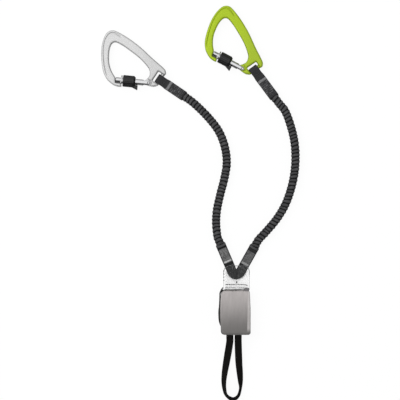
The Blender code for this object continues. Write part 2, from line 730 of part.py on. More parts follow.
def resting_tilt():
    """The frame's far edge lies on the floor while the sleeve holds the gate's axis up."""
    reach = max(y for x, y in OUTER_SHARES) * FRAME_HEIGHT - FRAME_EDGE
    half = FRAME_THICKNESS / 2
    return math.asin(SLEEVE_RADIUS / math.hypot(reach, half)) - math.atan2(half, reach)


def carabiner_matrix(side):
    x, y, heading = CARABINER_PLACES[side]
    place = Matrix.Translation((x, y, SLEEVE_RADIUS))
    return place @ Matrix.Rotation(heading, 4, "Z") @ Matrix.Rotation(-resting_tilt(), 4, "X")


def make_carabiner(side, arm):
    world = carabiner_matrix(side)
    place = bpy.data.objects.new(f"{side}_carabiner_pose", None)
    put(place, world)
    flip = joint_empty(f"{side}_flip", bar_matrix(place, STRAP_MIDDLE), arm)
    parts.objects.link(place)
    put(place, world, flip)
    make_frame(side, place)
    make_rivet(side, place)
    hinge = joint_empty(f"{side}_gate_hinge", world, place)
    to_nose = world @ Matrix.Rotation(-math.pi / 2, 4, "Y")
    make_gate(side, hinge, to_nose)
    make_ring(side, hinge, to_nose)
    spring = coil(
        f"{side}_sleeve_spring",
        SLEEVE_SPRING_RADIUS,
        SLEEVE_SPRING_WIRE,
        COLLAR_FRONT + SEAT_GAP,
        CHAMBER_FRONT - SEAT_GAP,
        SLEEVE_SPRING_CURLS,
    )
    put(spring, to_nose, hinge)
    make_plunger(side, joint_empty(f"{side}_plunger_slide", world, hinge), to_nose)
    make_sleeve(side, joint_empty(f"{side}_sleeve_slide", world, hinge), to_nose)


# Arms


def loop_outline(reach, neck, half_end, end):
    """A teardrop round the bar that narrows to a strap of the given half thickness."""
    lean = math.asin(LOOP_INNER / LOOP_NECK)
    start = math.pi / 2 - lean
    around = arc((0, 0), reach, start, 2 * math.pi - start, LOOP_STEPS)
    if end is None:
        return around + [(neck, 0)]
    join = (reach - half_end * math.cos(lean)) / math.sin(lean)
    return around + [(join, -half_end), (end, -half_end), (end, half_end), (join, half_end)]


LOOP_INNER = BAR_RADIUS + LOOP_CLEARANCE
STRAP_MIDDLE = SLOT_START + STRAP_PLACE + END_STRAP_WIDTH / 2


def bar_middle(side):
    return carabiner_matrix(side) @ Vector((*along_bar(BAR_REACH, STRAP_MIDDLE), 0))


def end_strap_end(side):
    """Where the ribbed stretch begins, at its own height."""
    reach, heading = END_STRAP_LENGTHS[side], END_STRAP_HEADINGS[side]
    place = bar_middle(side) + Vector((math.cos(heading), math.sin(heading), 0)) * reach
    return Vector((place.x, place.y, SHEATH_HEIGHT))


def end_strap_matrix(side, sheath_start):
    """On the bar's axis, X along the strap to the ribbed stretch and Z across the strap."""
    centre = bar_middle(side)
    run = (sheath_start - centre).normalized()
    across = run.cross(Vector((0, 0, 1))).normalized()
    return frame_matrix(centre, run, across.cross(run)), (sheath_start - centre).length


def make_end_strap(side, arm, sheath_start):
    world, length = end_strap_matrix(side, sheath_start)
    outer = loop_outline(LOOP_INNER + END_WEB_THICKNESS, 0, END_WEB_THICKNESS, length - SEAT_GAP)
    inner = loop_outline(LOOP_INNER, LOOP_NECK, 0, None)
    strap = plate(f"{side}_end_strap", [outer, inner], END_STRAP_WIDTH)
    put(strap, world, arm)
    paint(strap, (0.02, 0.02, 0.023), 0.8)
    top = END_WEB_THICKNESS + SEAT_GAP
    tack = block(
        f"{side}_bar_tack",
        (TACK_PLACE - TACK_LENGTH / 2, top, -TACK_WIDTH / 2),
        (TACK_PLACE + TACK_LENGTH / 2, top + TACK_THICKNESS, TACK_WIDTH / 2),
    )
    put(tack, world, arm)
    paint(tack, (0.16, 0.16, 0.17), 0.8)


def arm_path(side, sheath_start, fold, run):
    """The ribbed stretch's middle line, with a straight run at each end."""
    bar_world, _ = end_strap_matrix(side, sheath_start)
    out = bar_world.to_3x3() @ Vector((1, 0, 0))
    out.z = 0
    start = fold + run * (ROOT_THICKNESS / 2 + SEAT_GAP)
    middle = [sheath_start + out.normalized() * END_RUN]
    middle += [Vector(p) for p in ARM_ROUTES[side]]
    middle += [start + run * END_RUN]
    curve = smooth_run([tuple(p) for p in middle], 8)
    return np.vstack([np.array(sheath_start)[None], curve, np.array(start)[None]])


def make_sheath(side, arm, path):
    _, length = even_points(path, 2)
    ribs = round(length / RIB_PITCH)
    points, _ = even_points(path, 2 * ribs + 1)
    radii = [SHEATH_RADIUS if i % 2 else RIB_VALLEY_RADIUS for i in range(2 * ribs + 1)]
    sheath = curve_to_mesh(
        tube(f"{side}_sheath", points, SHEATH_RADIUS, radii=radii), f"{side}_sheath"
    )
    sparse, _ = even_points(path, round(length / BORE_STEP) + 1)
    longer = sparse.copy()
    longer[0] += (sparse[0] - sparse[1]) * SEAT_GAP / BORE_STEP
    longer[-1] += (sparse[-1] - sparse[-2]) * SEAT_GAP / BORE_STEP
    bore = curve_to_mesh(
        tube(f"{side}_sheath_bore", longer, SHEATH_BORE_RADIUS), f"{side}_sheath_bore", True
    )
    combine(sheath, bore, "DIFFERENCE")
    put(sheath, Matrix.Identity(4), arm)
    put(bore, Matrix.Identity(4), arm)
    paint(sheath, (0.03, 0.03, 0.034), 0.8)
    core = add_object(f"{side}_elastic_core", tube(f"{side}_elastic_core", sparse, CORE_RADIUS))
    put(core, Matrix.Identity(4), arm)
    paint(core, (0.6, 0.57, 0.5), 0.6)
    print(f"{side} ribbed stretch: {length / MM:.1f} mm, {ribs} ribs")


def make_root_strap(side, swing, pivot, run, length):
    half = ROOT_WIDTH / 2
    end = length + ROOT_THICKNESS / 2
    outline = arc((0, 0), half, math.pi / 2, 3 * math.pi / 2, 10) + [(end, -half), (end, half)]
    strap = plate(f"{side}_root_strap", [outline], ROOT_THICKNESS, ROOT_EDGE)
    across = Vector((0, 0, 1)).cross(run)
    world = frame_matrix(pivot, run, across)
    put(strap, world, swing)
    paint(strap, (0.025, 0.025, 0.028), 0.8)
    top = ROOT_THICKNESS / 2 + SEAT_GAP
    label = block(
        f"{side}_label",
        (LABEL_PLACES[side] - LABEL_LENGTH / 2, -LABEL_WIDTH / 2, top),
        (LABEL_PLACES[side] + LABEL_LENGTH / 2, LABEL_WIDTH / 2, top + LABEL_THICKNESS),
    )
    put(label, world, swing)
    paint(label, (0.2, 0.2, 0.21), 0.8)


def root_height(side):
    """The right root strap lies on the absorber's end, and the left one lies on the right one."""
    first = ABSORBER_FLOOR + ABSORBER_WEB + SEAT_GAP + ROOT_THICKNESS / 2
    return first + (ROOT_THICKNESS + SEAT_GAP if side == "left" else 0)


def make_arm(side):
    height = root_height(side)
    pivot = Vector((*ROOT_PIVOTS[side], height))
    fold = Vector((*ROOT_ENDS[side], height))
    run = (fold - pivot).normalized()
    swing = joint_empty(f"{side}_swing", Matrix.Translation(pivot))
    make_root_strap(side, swing, pivot, run, (fold - pivot).length)
    across = Vector((0, 0, 1)).cross(run)
    arm = joint_empty(f"{side}_fold", frame_matrix(fold, run, across), swing)
    sheath_start = end_strap_end(side)
    make_end_strap(side, arm, sheath_start)
    make_sheath(side, arm, arm_path(side, sheath_start, fold, run))
    make_carabiner(side, arm)


SHEATH_HEIGHT = ARM_ROUTES["left"][0][2]

# Pouch, absorber and tie-in loop

LAYER_PITCH = ABSORBER_WEB + LAYER_GAP
LAST_LAYER = ABSORBER_FLOOR + ABSORBER_WEB / 2 + (LAYER_COUNT - 1) * LAYER_PITCH
TRAY_TOP = LAST_LAYER + ABSORBER_WEB / 2 + SEAT_GAP
COVER_BOTTOM = TRAY_TOP + SEAT_GAP
POUCH_END = POUCH_LENGTH / 2


def pouch_block(name, inset, as_cutter=False):
    """The pouch's rounded block, drawn in by the given inset on every side."""
    piece = plate(
        name,
        [rounded_rectangle(
            POUCH_WIDTH - 2 * inset, POUCH_LENGTH - 2 * inset, POUCH_CORNER - inset, CORNER_STEPS
        )],
        POUCH_THICKNESS - 2 * inset,
        POUCH_EDGE - inset,
        as_cutter=as_cutter,
    )
    return piece


def make_pouch(hinge):
    centre = Matrix.Translation((POUCH_OFFSET, 0, POUCH_THICKNESS / 2))
    wide = POUCH_LENGTH + CUT_OVERRUN
    high = POUCH_THICKNESS + CUT_OVERRUN
    halves = {
        "pouch_tray": (None, TRAY_TOP, high),
        "pouch_cover": (hinge, -CUT_OVERRUN, COVER_BOTTOM),
    }
    for name, (parent, low, top) in halves.items():
        piece = pouch_block(name, 0)
        cutaway = block(f"{name}_cutaway", (-wide, -wide, low), (wide, wide, top), True)
        hollow = pouch_block(f"{name}_hollow", POUCH_WALL, True)
        put(hollow, centre, parent)
        put(cutaway, Matrix.Identity(4), parent)
        combine(piece, hollow, "DIFFERENCE")
        combine(piece, cutaway, "DIFFERENCE")
        put(piece, centre, parent)
    tray = bpy.data.objects["pouch_tray"]
    half = ABSORBER_WIDTH / 2 + MOUTH_GAP
    mouth = block(
        "tray_mouth",
        (ABSORBER_OFFSET - half, POUCH_END - POUCH_CORNER, ABSORBER_FLOOR - MOUTH_GAP),
        (ABSORBER_OFFSET + half, POUCH_END + CUT_OVERRUN, ABSORBER_FLOOR + ABSORBER_WEB + MOUTH_GAP),
        True,
    )
    legs = TIE_LEG_PLACES
    notch = block(
        "tray_notch",
        (legs["left"] - TIE_WIDTH / 2 - MOUTH_GAP, -POUCH_END - CUT_OVERRUN,
         LAST_LAYER - TIE_THICKNESS / 2 - MOUTH_GAP),
        (legs["right"] + TIE_WIDTH / 2 + MOUTH_GAP, POUCH_CORNER - POUCH_END, high),
        True,
    )
    for tool in (mouth, notch):
        combine(tray, tool, "DIFFERENCE")
    paint(tray, (0.025, 0.025, 0.028), 0.85)
    paint(bpy.data.objects["pouch_cover"], (0.3, 0.29, 0.28), 0.8)


def make_cover_trim(hinge):
    start = POUCH_END + SEAT_GAP
    low = COVER_BOTTOM
    tab_left = POUCH_OFFSET + POUCH_WIDTH / 2 - POUCH_WALL - PULL_TAB_WIDTH
    binding = block(
        "cover_binding",
        (tab_left - SEAT_GAP - BINDING_LENGTH, start, low),
        (tab_left - SEAT_GAP, start + BINDING_DEPTH, low + BINDING_HEIGHT),
    )
    tab = block(
        "cover_pull_tab",
        (tab_left, start, low),
        (tab_left + PULL_TAB_WIDTH, start + PULL_TAB_LENGTH, low + PULL_TAB_THICKNESS),
    )
    for piece in (binding, tab):
        put(piece, Matrix.Identity(4), hinge)
    paint(binding, (0.06, 0.06, 0.06), 0.85)
    paint(tab, (0.08, 0.08, 0.085), 0.85)


def make_gusset():
    """Black gusset along the left side. Its spur shows past the pouch's top left corner."""
    side = POUCH_OFFSET - POUCH_WIDTH / 2 - SEAT_GAP
    top = POUCH_END + SEAT_GAP
    low = POUCH_END - GUSSET_LENGTH
    bulge = side - GUSSET_BULGE
    corner = POUCH_CORNER
    outline = [
        (side, low),
        (bulge + GUSSET_BULGE / 4, low + corner),
        (bulge, (low + top) / 2),
        (bulge + GUSSET_BULGE / 4, top - corner),
        (side + GUSSET_BULGE / 4, top + GUSSET_SPUR / 5),
        (side + GUSSET_SPUR_REACH, top + GUSSET_SPUR),
        (side + GUSSET_SPUR_REACH - GUSSET_SPUR / 5, top),
        (side + corner, top),
    ]
    bend = (side + corner + SEAT_GAP, top - corner - SEAT_GAP)
    outline += arc(bend, corner + SEAT_GAP, math.radians(90), math.radians(180), 3)[1:]
    gusset = plate("pouch_gusset", [outline], GUSSET_HEIGHT)
    put(gusset, Matrix.Translation((0, 0, GUSSET_FOOT + GUSSET_HEIGHT / 2)))
    paint(gusset, (0.03, 0.03, 0.032), 0.85)


def absorber_path():
    """From the free end under the V into the pouch, back and forth, up to the last layer's end."""
    height = ABSORBER_FLOOR + ABSORBER_WEB / 2
    bend = LAYER_PITCH / 2
    path = [(TAB_REACH, height)]
    for layer in range(LAYER_COUNT - 1):
        away = -1 if layer % 2 == 0 else 1
        centre = (away * (POUCH_END - FOLD_MARGIN), height + bend)
        path += arc(centre, bend, -math.pi / 2, -math.pi / 2 + away * math.pi, FOLD_STEPS)
        height += LAYER_PITCH
    return path + [(LAST_LAYER_END, height)]


def make_absorber():
    side_view = Matrix(((0, 0, 1, ABSORBER_OFFSET), (1, 0, 0, 0), (0, 1, 0, 0), (0, 0, 0, 1)))
    webbing = plate(
        "absorber_webbing", [thick_outline(absorber_path(), ABSORBER_WEB)], ABSORBER_WIDTH
    )
    put(webbing, side_view)
    paint(webbing, (0.8, 0.8, 0.78), 0.75)
    top = ABSORBER_FLOOR + ABSORBER_WEB + SEAT_GAP
    for name, place in STITCH_ROWS.items():
        row = block(
            f"stitch_row_{name}",
            (ABSORBER_OFFSET - STITCH_ROW_LENGTH / 2, place - STITCH_ROW_WIDTH / 2, top),
            (ABSORBER_OFFSET + STITCH_ROW_LENGTH / 2, place + STITCH_ROW_WIDTH / 2,
             top + STITCH_ROW_HEIGHT),
        )
        put(row, Matrix.Identity(4))
        paint(row, (0.12, 0.12, 0.12), 0.7)


def make_clear_sleeve():
    """Open at the top, and at the sides above the seams, so that the root straps can swing."""
    low = POUCH_END + SEAT_GAP
    half = ABSORBER_WIDTH / 2 + CLEAR_SIDE_MARGIN
    left, right = ABSORBER_OFFSET - half, ABSORBER_OFFSET + half
    inner_top = root_height("left") + ROOT_THICKNESS / 2 + SEAT_GAP
    high = inner_top + CLEAR_WALL
    corner = CLEAR_CORNER
    outline = [(left, low), (right, low)]
    outline += arc((right - corner, CLEAR_TOP - corner), corner, 0, math.pi / 2, 6)
    outline += arc((left + corner, CLEAR_TOP - corner), corner, math.pi / 2, math.pi, 6)
    sleeve = plate("clear_sleeve", [outline], high)
    put(sleeve, Matrix.Translation((0, 0, high / 2)))
    inside = block(
        "sleeve_inside",
        (left + CLEAR_WALL, low - CUT_OVERRUN, CLEAR_WALL),
        (right - CLEAR_WALL, CLEAR_TOP + CUT_OVERRUN, inner_top),
        True,
    )
    open_sides = block(
        "sleeve_open_sides",
        (left - CUT_OVERRUN, CLEAR_SEAM_END, CLEAR_WALL),
        (right + CUT_OVERRUN, CLEAR_TOP + CUT_OVERRUN, inner_top),
        True,
    )
    for tool in (inside, open_sides):
        put(tool, Matrix.Identity(4))
        combine(sleeve, tool, "DIFFERENCE")
    paint(sleeve, (0.9, 0.92, 0.93), 0.15, alpha=0.35)


def make_tie_yoke():
    """The tie-in webbing's inner end: a yoke in line with the absorber's last layer, two legs."""
    hinge = POUCH_END + TIE_HINGE_REACH
    end = hinge + TIE_THICKNESS / 2
    half = TIE_WIDTH / 2
    left, right = TIE_LEG_PLACES["left"], TIE_LEG_PLACES["right"]
    outline = [
        (left - half, LAST_LAYER_END - SEAT_GAP),
        (left - half, -end),
        (left + half, -end),
        (left + half, -TIE_YOKE_END),
        (right - half, -TIE_YOKE_END),
        (right - half, -end),
        (right + half, -end),
        (right + half, LAST_LAYER_END - SEAT_GAP),
    ]
    yoke = plate("tie_in_yoke", [outline], TIE_THICKNESS, TIE_EDGE)
    put(yoke, Matrix.Translation((0, 0, LAST_LAYER)))
    paint(yoke, (0.02, 0.02, 0.022), 0.8)


def make_tie_loop(hinge):
    """One strap from leg to leg that stands on its edge at the far end of the loop."""
    start = POUCH_END + TIE_HINGE_REACH + TIE_THICKNESS / 2 + SEAT_GAP
    ends = {
        side: [(place, -start, LAST_LAYER, 0.0), (place, -start - TIE_WIDTH / 2, LAST_LAYER, 0.0)]
        for side, place in TIE_LEG_PLACES.items()
    }
    route = np.array(ends["left"] + TIE_ROUTE + ends["right"][::-1])
    run = smooth_run(route, TIE_STEPS)
    centre, lean = run[:, :3], run[:, 3]
    along = np.gradient(centre, axis=0)
    along[:, 2] = 0
    along /= np.linalg.norm(along, axis=1)[:, None]
    inward = np.column_stack([-along[:, 1], along[:, 0], np.zeros(len(along))])
    side = inward * np.cos(lean)[:, None] + np.array([0, 0, 1]) * np.sin(lean)[:, None]
    side[0] = side[1] = (1, 0, 0)
    side[-1] = side[-2] = (-1, 0, 0)
    half = TIE_WIDTH / 2
    verts = np.stack([centre - side * half, centre + side * half], axis=1).reshape(-1, 3)
    faces = [(2 * i, 2 * i + 1, 2 * i + 3, 2 * i + 2) for i in range(len(centre) - 1)]
    mesh = bpy.data.meshes.new("tie_in_loop")
    mesh.from_pydata(verts.tolist(), [], faces)
    loop = add_object("tie_in_loop", mesh)
    shell = loop.modifiers.new("Thickness", "SOLIDIFY")
    shell.thickness = TIE_THICKNESS
    shell.offset = 0
    shell.use_even_offset = True
    edge = loop.modifiers.new("Edge", "BEVEL")
    edge.width = TIE_LOOP_EDGE
    edge.segments = 1
    edge.limit_method = "ANGLE"
    edge.angle_limit = math.radians(60)
    put(loop, Matrix.Identity(4), hinge)
    paint(loop, (0.02, 0.02, 0.022), 0.8)


def main():
    for side in SIDES:
        make_arm(side)
    cover_hinge = joint_empty(
        "cover_hinge",
        Matrix.Translation((POUCH_OFFSET + POUCH_WIDTH / 2, 0, (TRAY_TOP + COVER_BOTTOM) / 2)),
    )
    make_pouch(cover_hinge)
    make_cover_trim(cover_hinge)
    make_gusset()
    make_absorber()
    make_clear_sleeve()
    make_tie_yoke()
    tie_hinge = joint_empty(
        "tie_hinge", Matrix.Translation((0, -POUCH_END - TIE_HINGE_REACH, LAST_LAYER))
    )
    make_tie_loop(tie_hinge)


clear_scene()
parts = new_collection("via_ferrata_lanyard")
cutters = new_collection("cutters")
main()
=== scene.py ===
import math

import bmesh
import bpy
import numpy as np
from mathutils import Matrix, Vector


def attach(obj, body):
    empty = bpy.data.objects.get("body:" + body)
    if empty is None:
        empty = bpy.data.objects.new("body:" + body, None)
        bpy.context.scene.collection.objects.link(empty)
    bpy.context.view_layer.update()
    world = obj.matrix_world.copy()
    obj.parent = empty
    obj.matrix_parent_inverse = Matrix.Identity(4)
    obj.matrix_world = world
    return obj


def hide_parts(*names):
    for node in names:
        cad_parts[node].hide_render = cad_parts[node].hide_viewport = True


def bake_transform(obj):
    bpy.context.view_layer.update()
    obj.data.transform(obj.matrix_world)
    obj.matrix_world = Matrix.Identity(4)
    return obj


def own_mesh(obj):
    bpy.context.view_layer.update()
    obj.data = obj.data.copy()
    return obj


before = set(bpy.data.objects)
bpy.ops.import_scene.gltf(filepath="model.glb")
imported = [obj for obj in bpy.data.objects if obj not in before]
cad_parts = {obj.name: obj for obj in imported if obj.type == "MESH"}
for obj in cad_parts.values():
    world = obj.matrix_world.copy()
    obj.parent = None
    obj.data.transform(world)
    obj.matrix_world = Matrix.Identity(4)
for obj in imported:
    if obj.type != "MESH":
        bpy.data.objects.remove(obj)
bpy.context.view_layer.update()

mm = 0.001
sides = ("left", "right")
upright = np.array([0.0, 0.0, 1.0])
print("frame loaded")

# Camera, light and floor

view = {"middle": (-0.0560, 0.1796), "height": 4.5, "acrossView": 0.640, "aimHeight": 0.008}
cameraData = bpy.data.cameras.new("camera")
cameraData.sensor_width = 36
cameraData.lens = 36 * (view["height"] - view["aimHeight"]) / view["acrossView"]
cameraData.clip_start = 0.05
camera = bpy.data.objects.new("camera", cameraData)
camera.location = (*view["middle"], view["height"])
bpy.context.scene.collection.objects.link(camera)
bpy.context.scene.camera = camera
bpy.context.scene.view_settings.view_transform = "Standard"

studio = {
    "lampPlace": (-0.80, 0.55, 1.35), "lampSize": 1.5, "lampPower": 12.0,
    "worldLight": 0.78, "zenith": 0.93, "darkSide": 0.06, "paleSide": 0.85,
    "paleWay": (-0.85, 0.55), "paleEdge": (-0.1, 0.6), "zenithLean": 0.3, "zenithEdge": (0.62, 0.93),
    "floorShade": 1.0, "floorShadow": 0.07, "floorReflectionShade": 0.22, "floorReach": 3.0, "floorDrop": 0.4 * mm,
}


# Shader maths: a wire is a node's output, and sums on wires add their Math nodes

class Wire:
    def __init__(self, look, socket):
        self.look, self.socket = look, socket

    def maths(self, operation, *values):
        return self.look.node("ShaderNodeMath", {"operation": operation}, dict(enumerate(values)))

    def __add__(self, other):
        return self.maths("ADD", self, other)

    def __radd__(self, other):
        return self.maths("ADD", other, self)

    def __sub__(self, other):
        return self.maths("SUBTRACT", self, other)

    def __rsub__(self, other):
        return self.maths("SUBTRACT", other, self)

    def __mul__(self, other):
        return self.maths("MULTIPLY", self, other)

    def __rmul__(self, other):
        return self.maths("MULTIPLY", other, self)

    def __truediv__(self, other):
        return self.maths("DIVIDE", self, other)

    def __pow__(self, other):
        return self.maths("POWER", self, other)

    def __abs__(self):
        return self.maths("ABSOLUTE", self)

    def sine(self):
        return self.maths("SINE", self)

    # a sine wave from 0 to 1, once for each unit
    def swing(self):
        return (self * (2 * math.pi)).sine() * 0.5 + 0.5

    def part(self):
        return self.maths("FRACT", self)

    def least(self, other):
        return self.maths("MINIMUM", self, other)

    def most(self, other):
        return self.maths("MAXIMUM", self, other)

    # 0 below low, 1 above high, smooth between
    def rise(self, low, high):
        settings = {"interpolation_type": "SMOOTHSTEP"}
        sockets = {"Value": self, "From Min": low, "From Max": high}
        return self.look.node("ShaderNodeMapRange", settings, sockets)

    def parts(self):
        return [self.look.node("ShaderNodeSeparateXYZ", {}, {0: self}, out=k) for k in range(3)]

    def times(self, *scale):
        return self.look.node("ShaderNodeVectorMath", {"operation": "MULTIPLY"}, {0: self, 1: scale})


class NodeBench:
    def node(self, kind, settings, sockets, out=0):
        made = self.tree.nodes.new(kind)
        for name, value in settings.items():
            setattr(made, name, value)
        for name, value in sockets.items():
            if isinstance(value, Wire):
                self.tree.links.new(value.socket, made.inputs[name])
            else:
                made.inputs[name].default_value = value
        return Wire(self, made.outputs[out]) if made.outputs else made

    def noise(self, where, scale, detail=2.0):
        return self.node("ShaderNodeTexNoise", {}, {"Vector": where, "Scale": scale, "Detail": detail})

    def mix(self, share, first, second):
        colours = [(*c, 1.0) if isinstance(c, tuple) else c for c in (first, second)]
        sockets = {0: share, 6: colours[0], 7: colours[1]}
        return self.node("ShaderNodeMix", {"data_type": "RGBA"}, sockets, out=2)

    def ray(self, kind):
        return self.node("ShaderNodeLightPath", {}, {}, out=f"Is {kind} Ray")


class Look(NodeBench):
    # A surface's finish: sockets that are the same all over are set here, the rest are fed
    def __init__(self, name, slot, **fixed):
        self.material = bpy.data.materials.new(name)
        self.material.use_nodes = True
        self.slot = slot
        self.tree = self.material.node_tree
        self.shader = self.tree.nodes["Principled BSDF"]
        for socket, value in fixed.items():
            self.shader.inputs[socket.replace("_", " ")].default_value = value

    def place(self):
        return self.node("ShaderNodeTexCoord", {}, {}, out=3)

    # along and across the piece, in metres
    def weave(self):
        return self.node("ShaderNodeUVMap", {"uv_map": "weave"}, {}).parts()[:2]

    def value(self, name):
        return self.node("ShaderNodeAttribute", {"attribute_name": name}, {}, out=2)

    def feed(self, bumps=(), **wires):
        for socket, wire in wires.items():
            self.tree.links.new(wire.socket, self.shader.inputs[socket.replace("_", " ")])
        normal = None
        for height, depth in bumps:
            sockets = {"Height": height, "Distance": depth, "Strength": 1.0}
            if normal:
                sockets["Normal"] = normal
            normal = self.node("ShaderNodeBump", {}, sockets)
        if normal:
            self.tree.links.new(normal.socket, self.shader.inputs["Normal"])
        return self


class Surround(NodeBench):
    def __init__(self, tree):
        self.tree = tree
        tree.nodes.clear()


def grey(tone):
    return (tone, tone, tone)


def shaded(colour, factor, plus=0.0):
    return tuple(min(1.0, c * factor + plus) for c in colour)


def buildWorld():
    # Metal mirrors a pale zenith and a horizon that is dark on one side and pale on the other
    world = bpy.data.worlds.new("studio")
    world.use_nodes = True
    bpy.context.scene.world = world
    air = Surround(world.node_tree)
    east, north, height = air.node("ShaderNodeTexCoord", {}, {}, out=0).parts()
    pale = (east * studio["paleWay"][0] + north * studio["paleWay"][1]).rise(*studio["paleEdge"])
    horizon = air.mix(pale, grey(studio["darkSide"]), grey(studio["paleSide"]))
    overhead = (height + (north - east) * studio["zenithLean"]).rise(*studio["zenithEdge"])
    sky = air.mix(overhead, horizon, grey(studio["zenith"]))
    colour = air.mix(air.ray("Glossy"), grey(studio["worldLight"]), sky)
    colour = air.mix(air.ray("Camera").most(air.ray("Transmission")), colour, grey(1.0))
    back = air.node("ShaderNodeBackground", {}, {"Color": colour, "Strength": 1.0})
    air.node("ShaderNodeOutputWorld", {}, {"Surface": back})


def buildFloor():
    mesh = bpy.data.meshes.new("floor")
    reach, low = studio["floorReach"], -studio["floorDrop"]
    corners = [(-reach, -reach, low), (reach, -reach, low), (reach, reach, low), (-reach, reach, low)]
    mesh.from_pydata(corners, [], [(0, 1, 2, 3)])
    floor = bpy.data.objects.new("floor", mesh)
    bpy.context.scene.collection.objects.link(floor)
    paper = Look("floorPaper", None, Roughness=0.9)
    # painted reflection: where metal mirrors it, the floor is painted a dark grey, which darkens the metal's
    # lower edges
    shade = paper.mix(paper.ray("Glossy"), grey(studio["floorShade"]), grey(studio["floorReflectionShade"]))
    paper.feed(Base_Color=shade)
    glow = paper.node("ShaderNodeEmission", {}, {"Color": (1, 1, 1, 1), "Strength": 1.0})
    share = paper.ray("Camera").most(paper.ray("Transmission")) * (1 - studio["floorShadow"])
    own = Wire(paper, paper.shader.outputs[0])
    both = paper.node("ShaderNodeMixShader", {}, {0: share, 1: own, 2: glow})
    paper.tree.links.new(both.socket, paper.tree.nodes["Material Output"].inputs["Surface"])
    mesh.materials.append(paper.material)


def buildLamp():
    data = bpy.data.lights.new("softbox", "AREA")
    data.shape = "DISK"
    data.size = studio["lampSize"]
    data.energy = studio["lampPower"]
    lamp = bpy.data.objects.new("softbox", data)
    lamp.location = studio["lampPlace"]
    aim = Vector((*view["middle"], 0)) - Vector(studio["lampPlace"])
    lamp.rotation_euler = aim.to_track_quat("-Z", "Y").to_euler()
    lamp.visible_glossy = False
    lamp.visible_camera = False
    bpy.context.scene.collection.objects.link(lamp)


buildWorld()
buildFloor()
buildLamp()
print("camera, light and floor done")

# Sums on arrays


def ramp(value, low, high):
    # 0 below low, 1 above high, straight between
    return np.clip((value - low) / (high - low), 0, 1)


def within(value, low, high, edge):
    # 0 outside low and high, rising to 1 over the width of edge inside them
    return np.clip(np.minimum(value - low, high - value) / edge, 0, 1)


def eased(share):
    # from 0 to 1, slow at both ends
    return share * share * (3 - 2 * share)


def stacked(*columns):
    # columns side by side, where a single number fills its own
    return np.column_stack(np.broadcast_arrays(*columns))


def unit(vectors):
    return vectors / np.linalg.norm(vectors, axis=-1, keepdims=True)


def direction(points):
    return unit(np.gradient(points, axis=0))


def levelSides(run):
    # the level direction across a run, and the one at right angles to both
    across = unit(np.cross(run, upright))
    return across, np.cross(across, run)


def distanceAlong(points):
    return np.concatenate([[0], np.cumsum(np.linalg.norm(np.diff(points, axis=0), axis=1))])


def distanceAround(points):
    return distanceAlong(np.vstack([points, points[:1]]))


def smoothRun(points, steps):
    # Catmull-Rom: between two points the curve is a cubic whose slopes come from their neighbours
    p = np.array(points, float)
    p = np.vstack([2 * p[0] - p[1], p, 2 * p[-1] - p[-2]])
    a, b, c, d = p[:-3, None], p[1:-2, None], p[2:-1, None], p[3:, None]
    t = (np.arange(steps) / steps)[None, :, None]
    run = (2 * b + (c - a) * t + (2 * a - 5 * b + 4 * c - d) * t**2 + (3 * b - a - 3 * c + d) * t**3) / 2
    return np.vstack([run.reshape(-1, p.shape[1]), p[-2]])


def evenRun(points, count):
    # the same run with count points, evenly spaced along it
    along = distanceAlong(points)
    wanted = np.linspace(0, along[-1], count)
    return np.column_stack([np.interp(wanted, along, column) for column in points.T])


def squareRound(count, power):
    # Superellipse |x|^power + |y|^power = 1 by its angle: a rounded rectangle once it is stretched
    angle = np.linspace(0, 2 * math.pi, count, endpoint=False)
    c, s = np.cos(angle), np.sin(angle)
    return np.sign(c) * np.abs(c) ** (2 / power), np.sign(s) * np.abs(s) ** (2 / power)


def carried(centre, across, up, x, y):
    # grid of the section's points, x across and y up, at each point of centre
    return centre[:, None] + across[..., None, :] * x[..., None] + up[..., None, :] * y[..., None]


# Meshes from grids of points


def meshPiece(name, points, faces, corners, look, values=None):
    # points and faces as arrays, corners the (along, across) place of each face corner, turned outwards
    # by the sign of the volume they enclose
    mesh = bpy.data.meshes.new(name)
    solid = sum(np.einsum("ij,ij->", points[f[:, 0]], np.cross(points[f[:, k]], points[f[:, k + 1]]))
                for f in faces for k in range(1, f.shape[1] - 1))
    if solid < 0:
        faces = [f[:, ::-1] for f in faces]
        corners = [c[:, ::-1] for c in corners]
    mesh.from_pydata(points.tolist(), [], [row for f in faces for row in f.tolist()])
    spot = mesh.uv_layers.new(name="weave")
    spot.data.foreach_set("uv", np.concatenate([c.reshape(-1) for c in corners]).astype(np.float32))
    mesh.shade_smooth()
    for key, amounts in (values or {}).items():
        mesh.attributes.new(key, "FLOAT", "POINT").data.foreach_set("value", amounts.astype(np.float32))
    mesh.materials.append(look.material)
    piece = bpy.data.objects.new(name, mesh)
    bpy.context.scene.collection.objects.link(piece)
    return piece


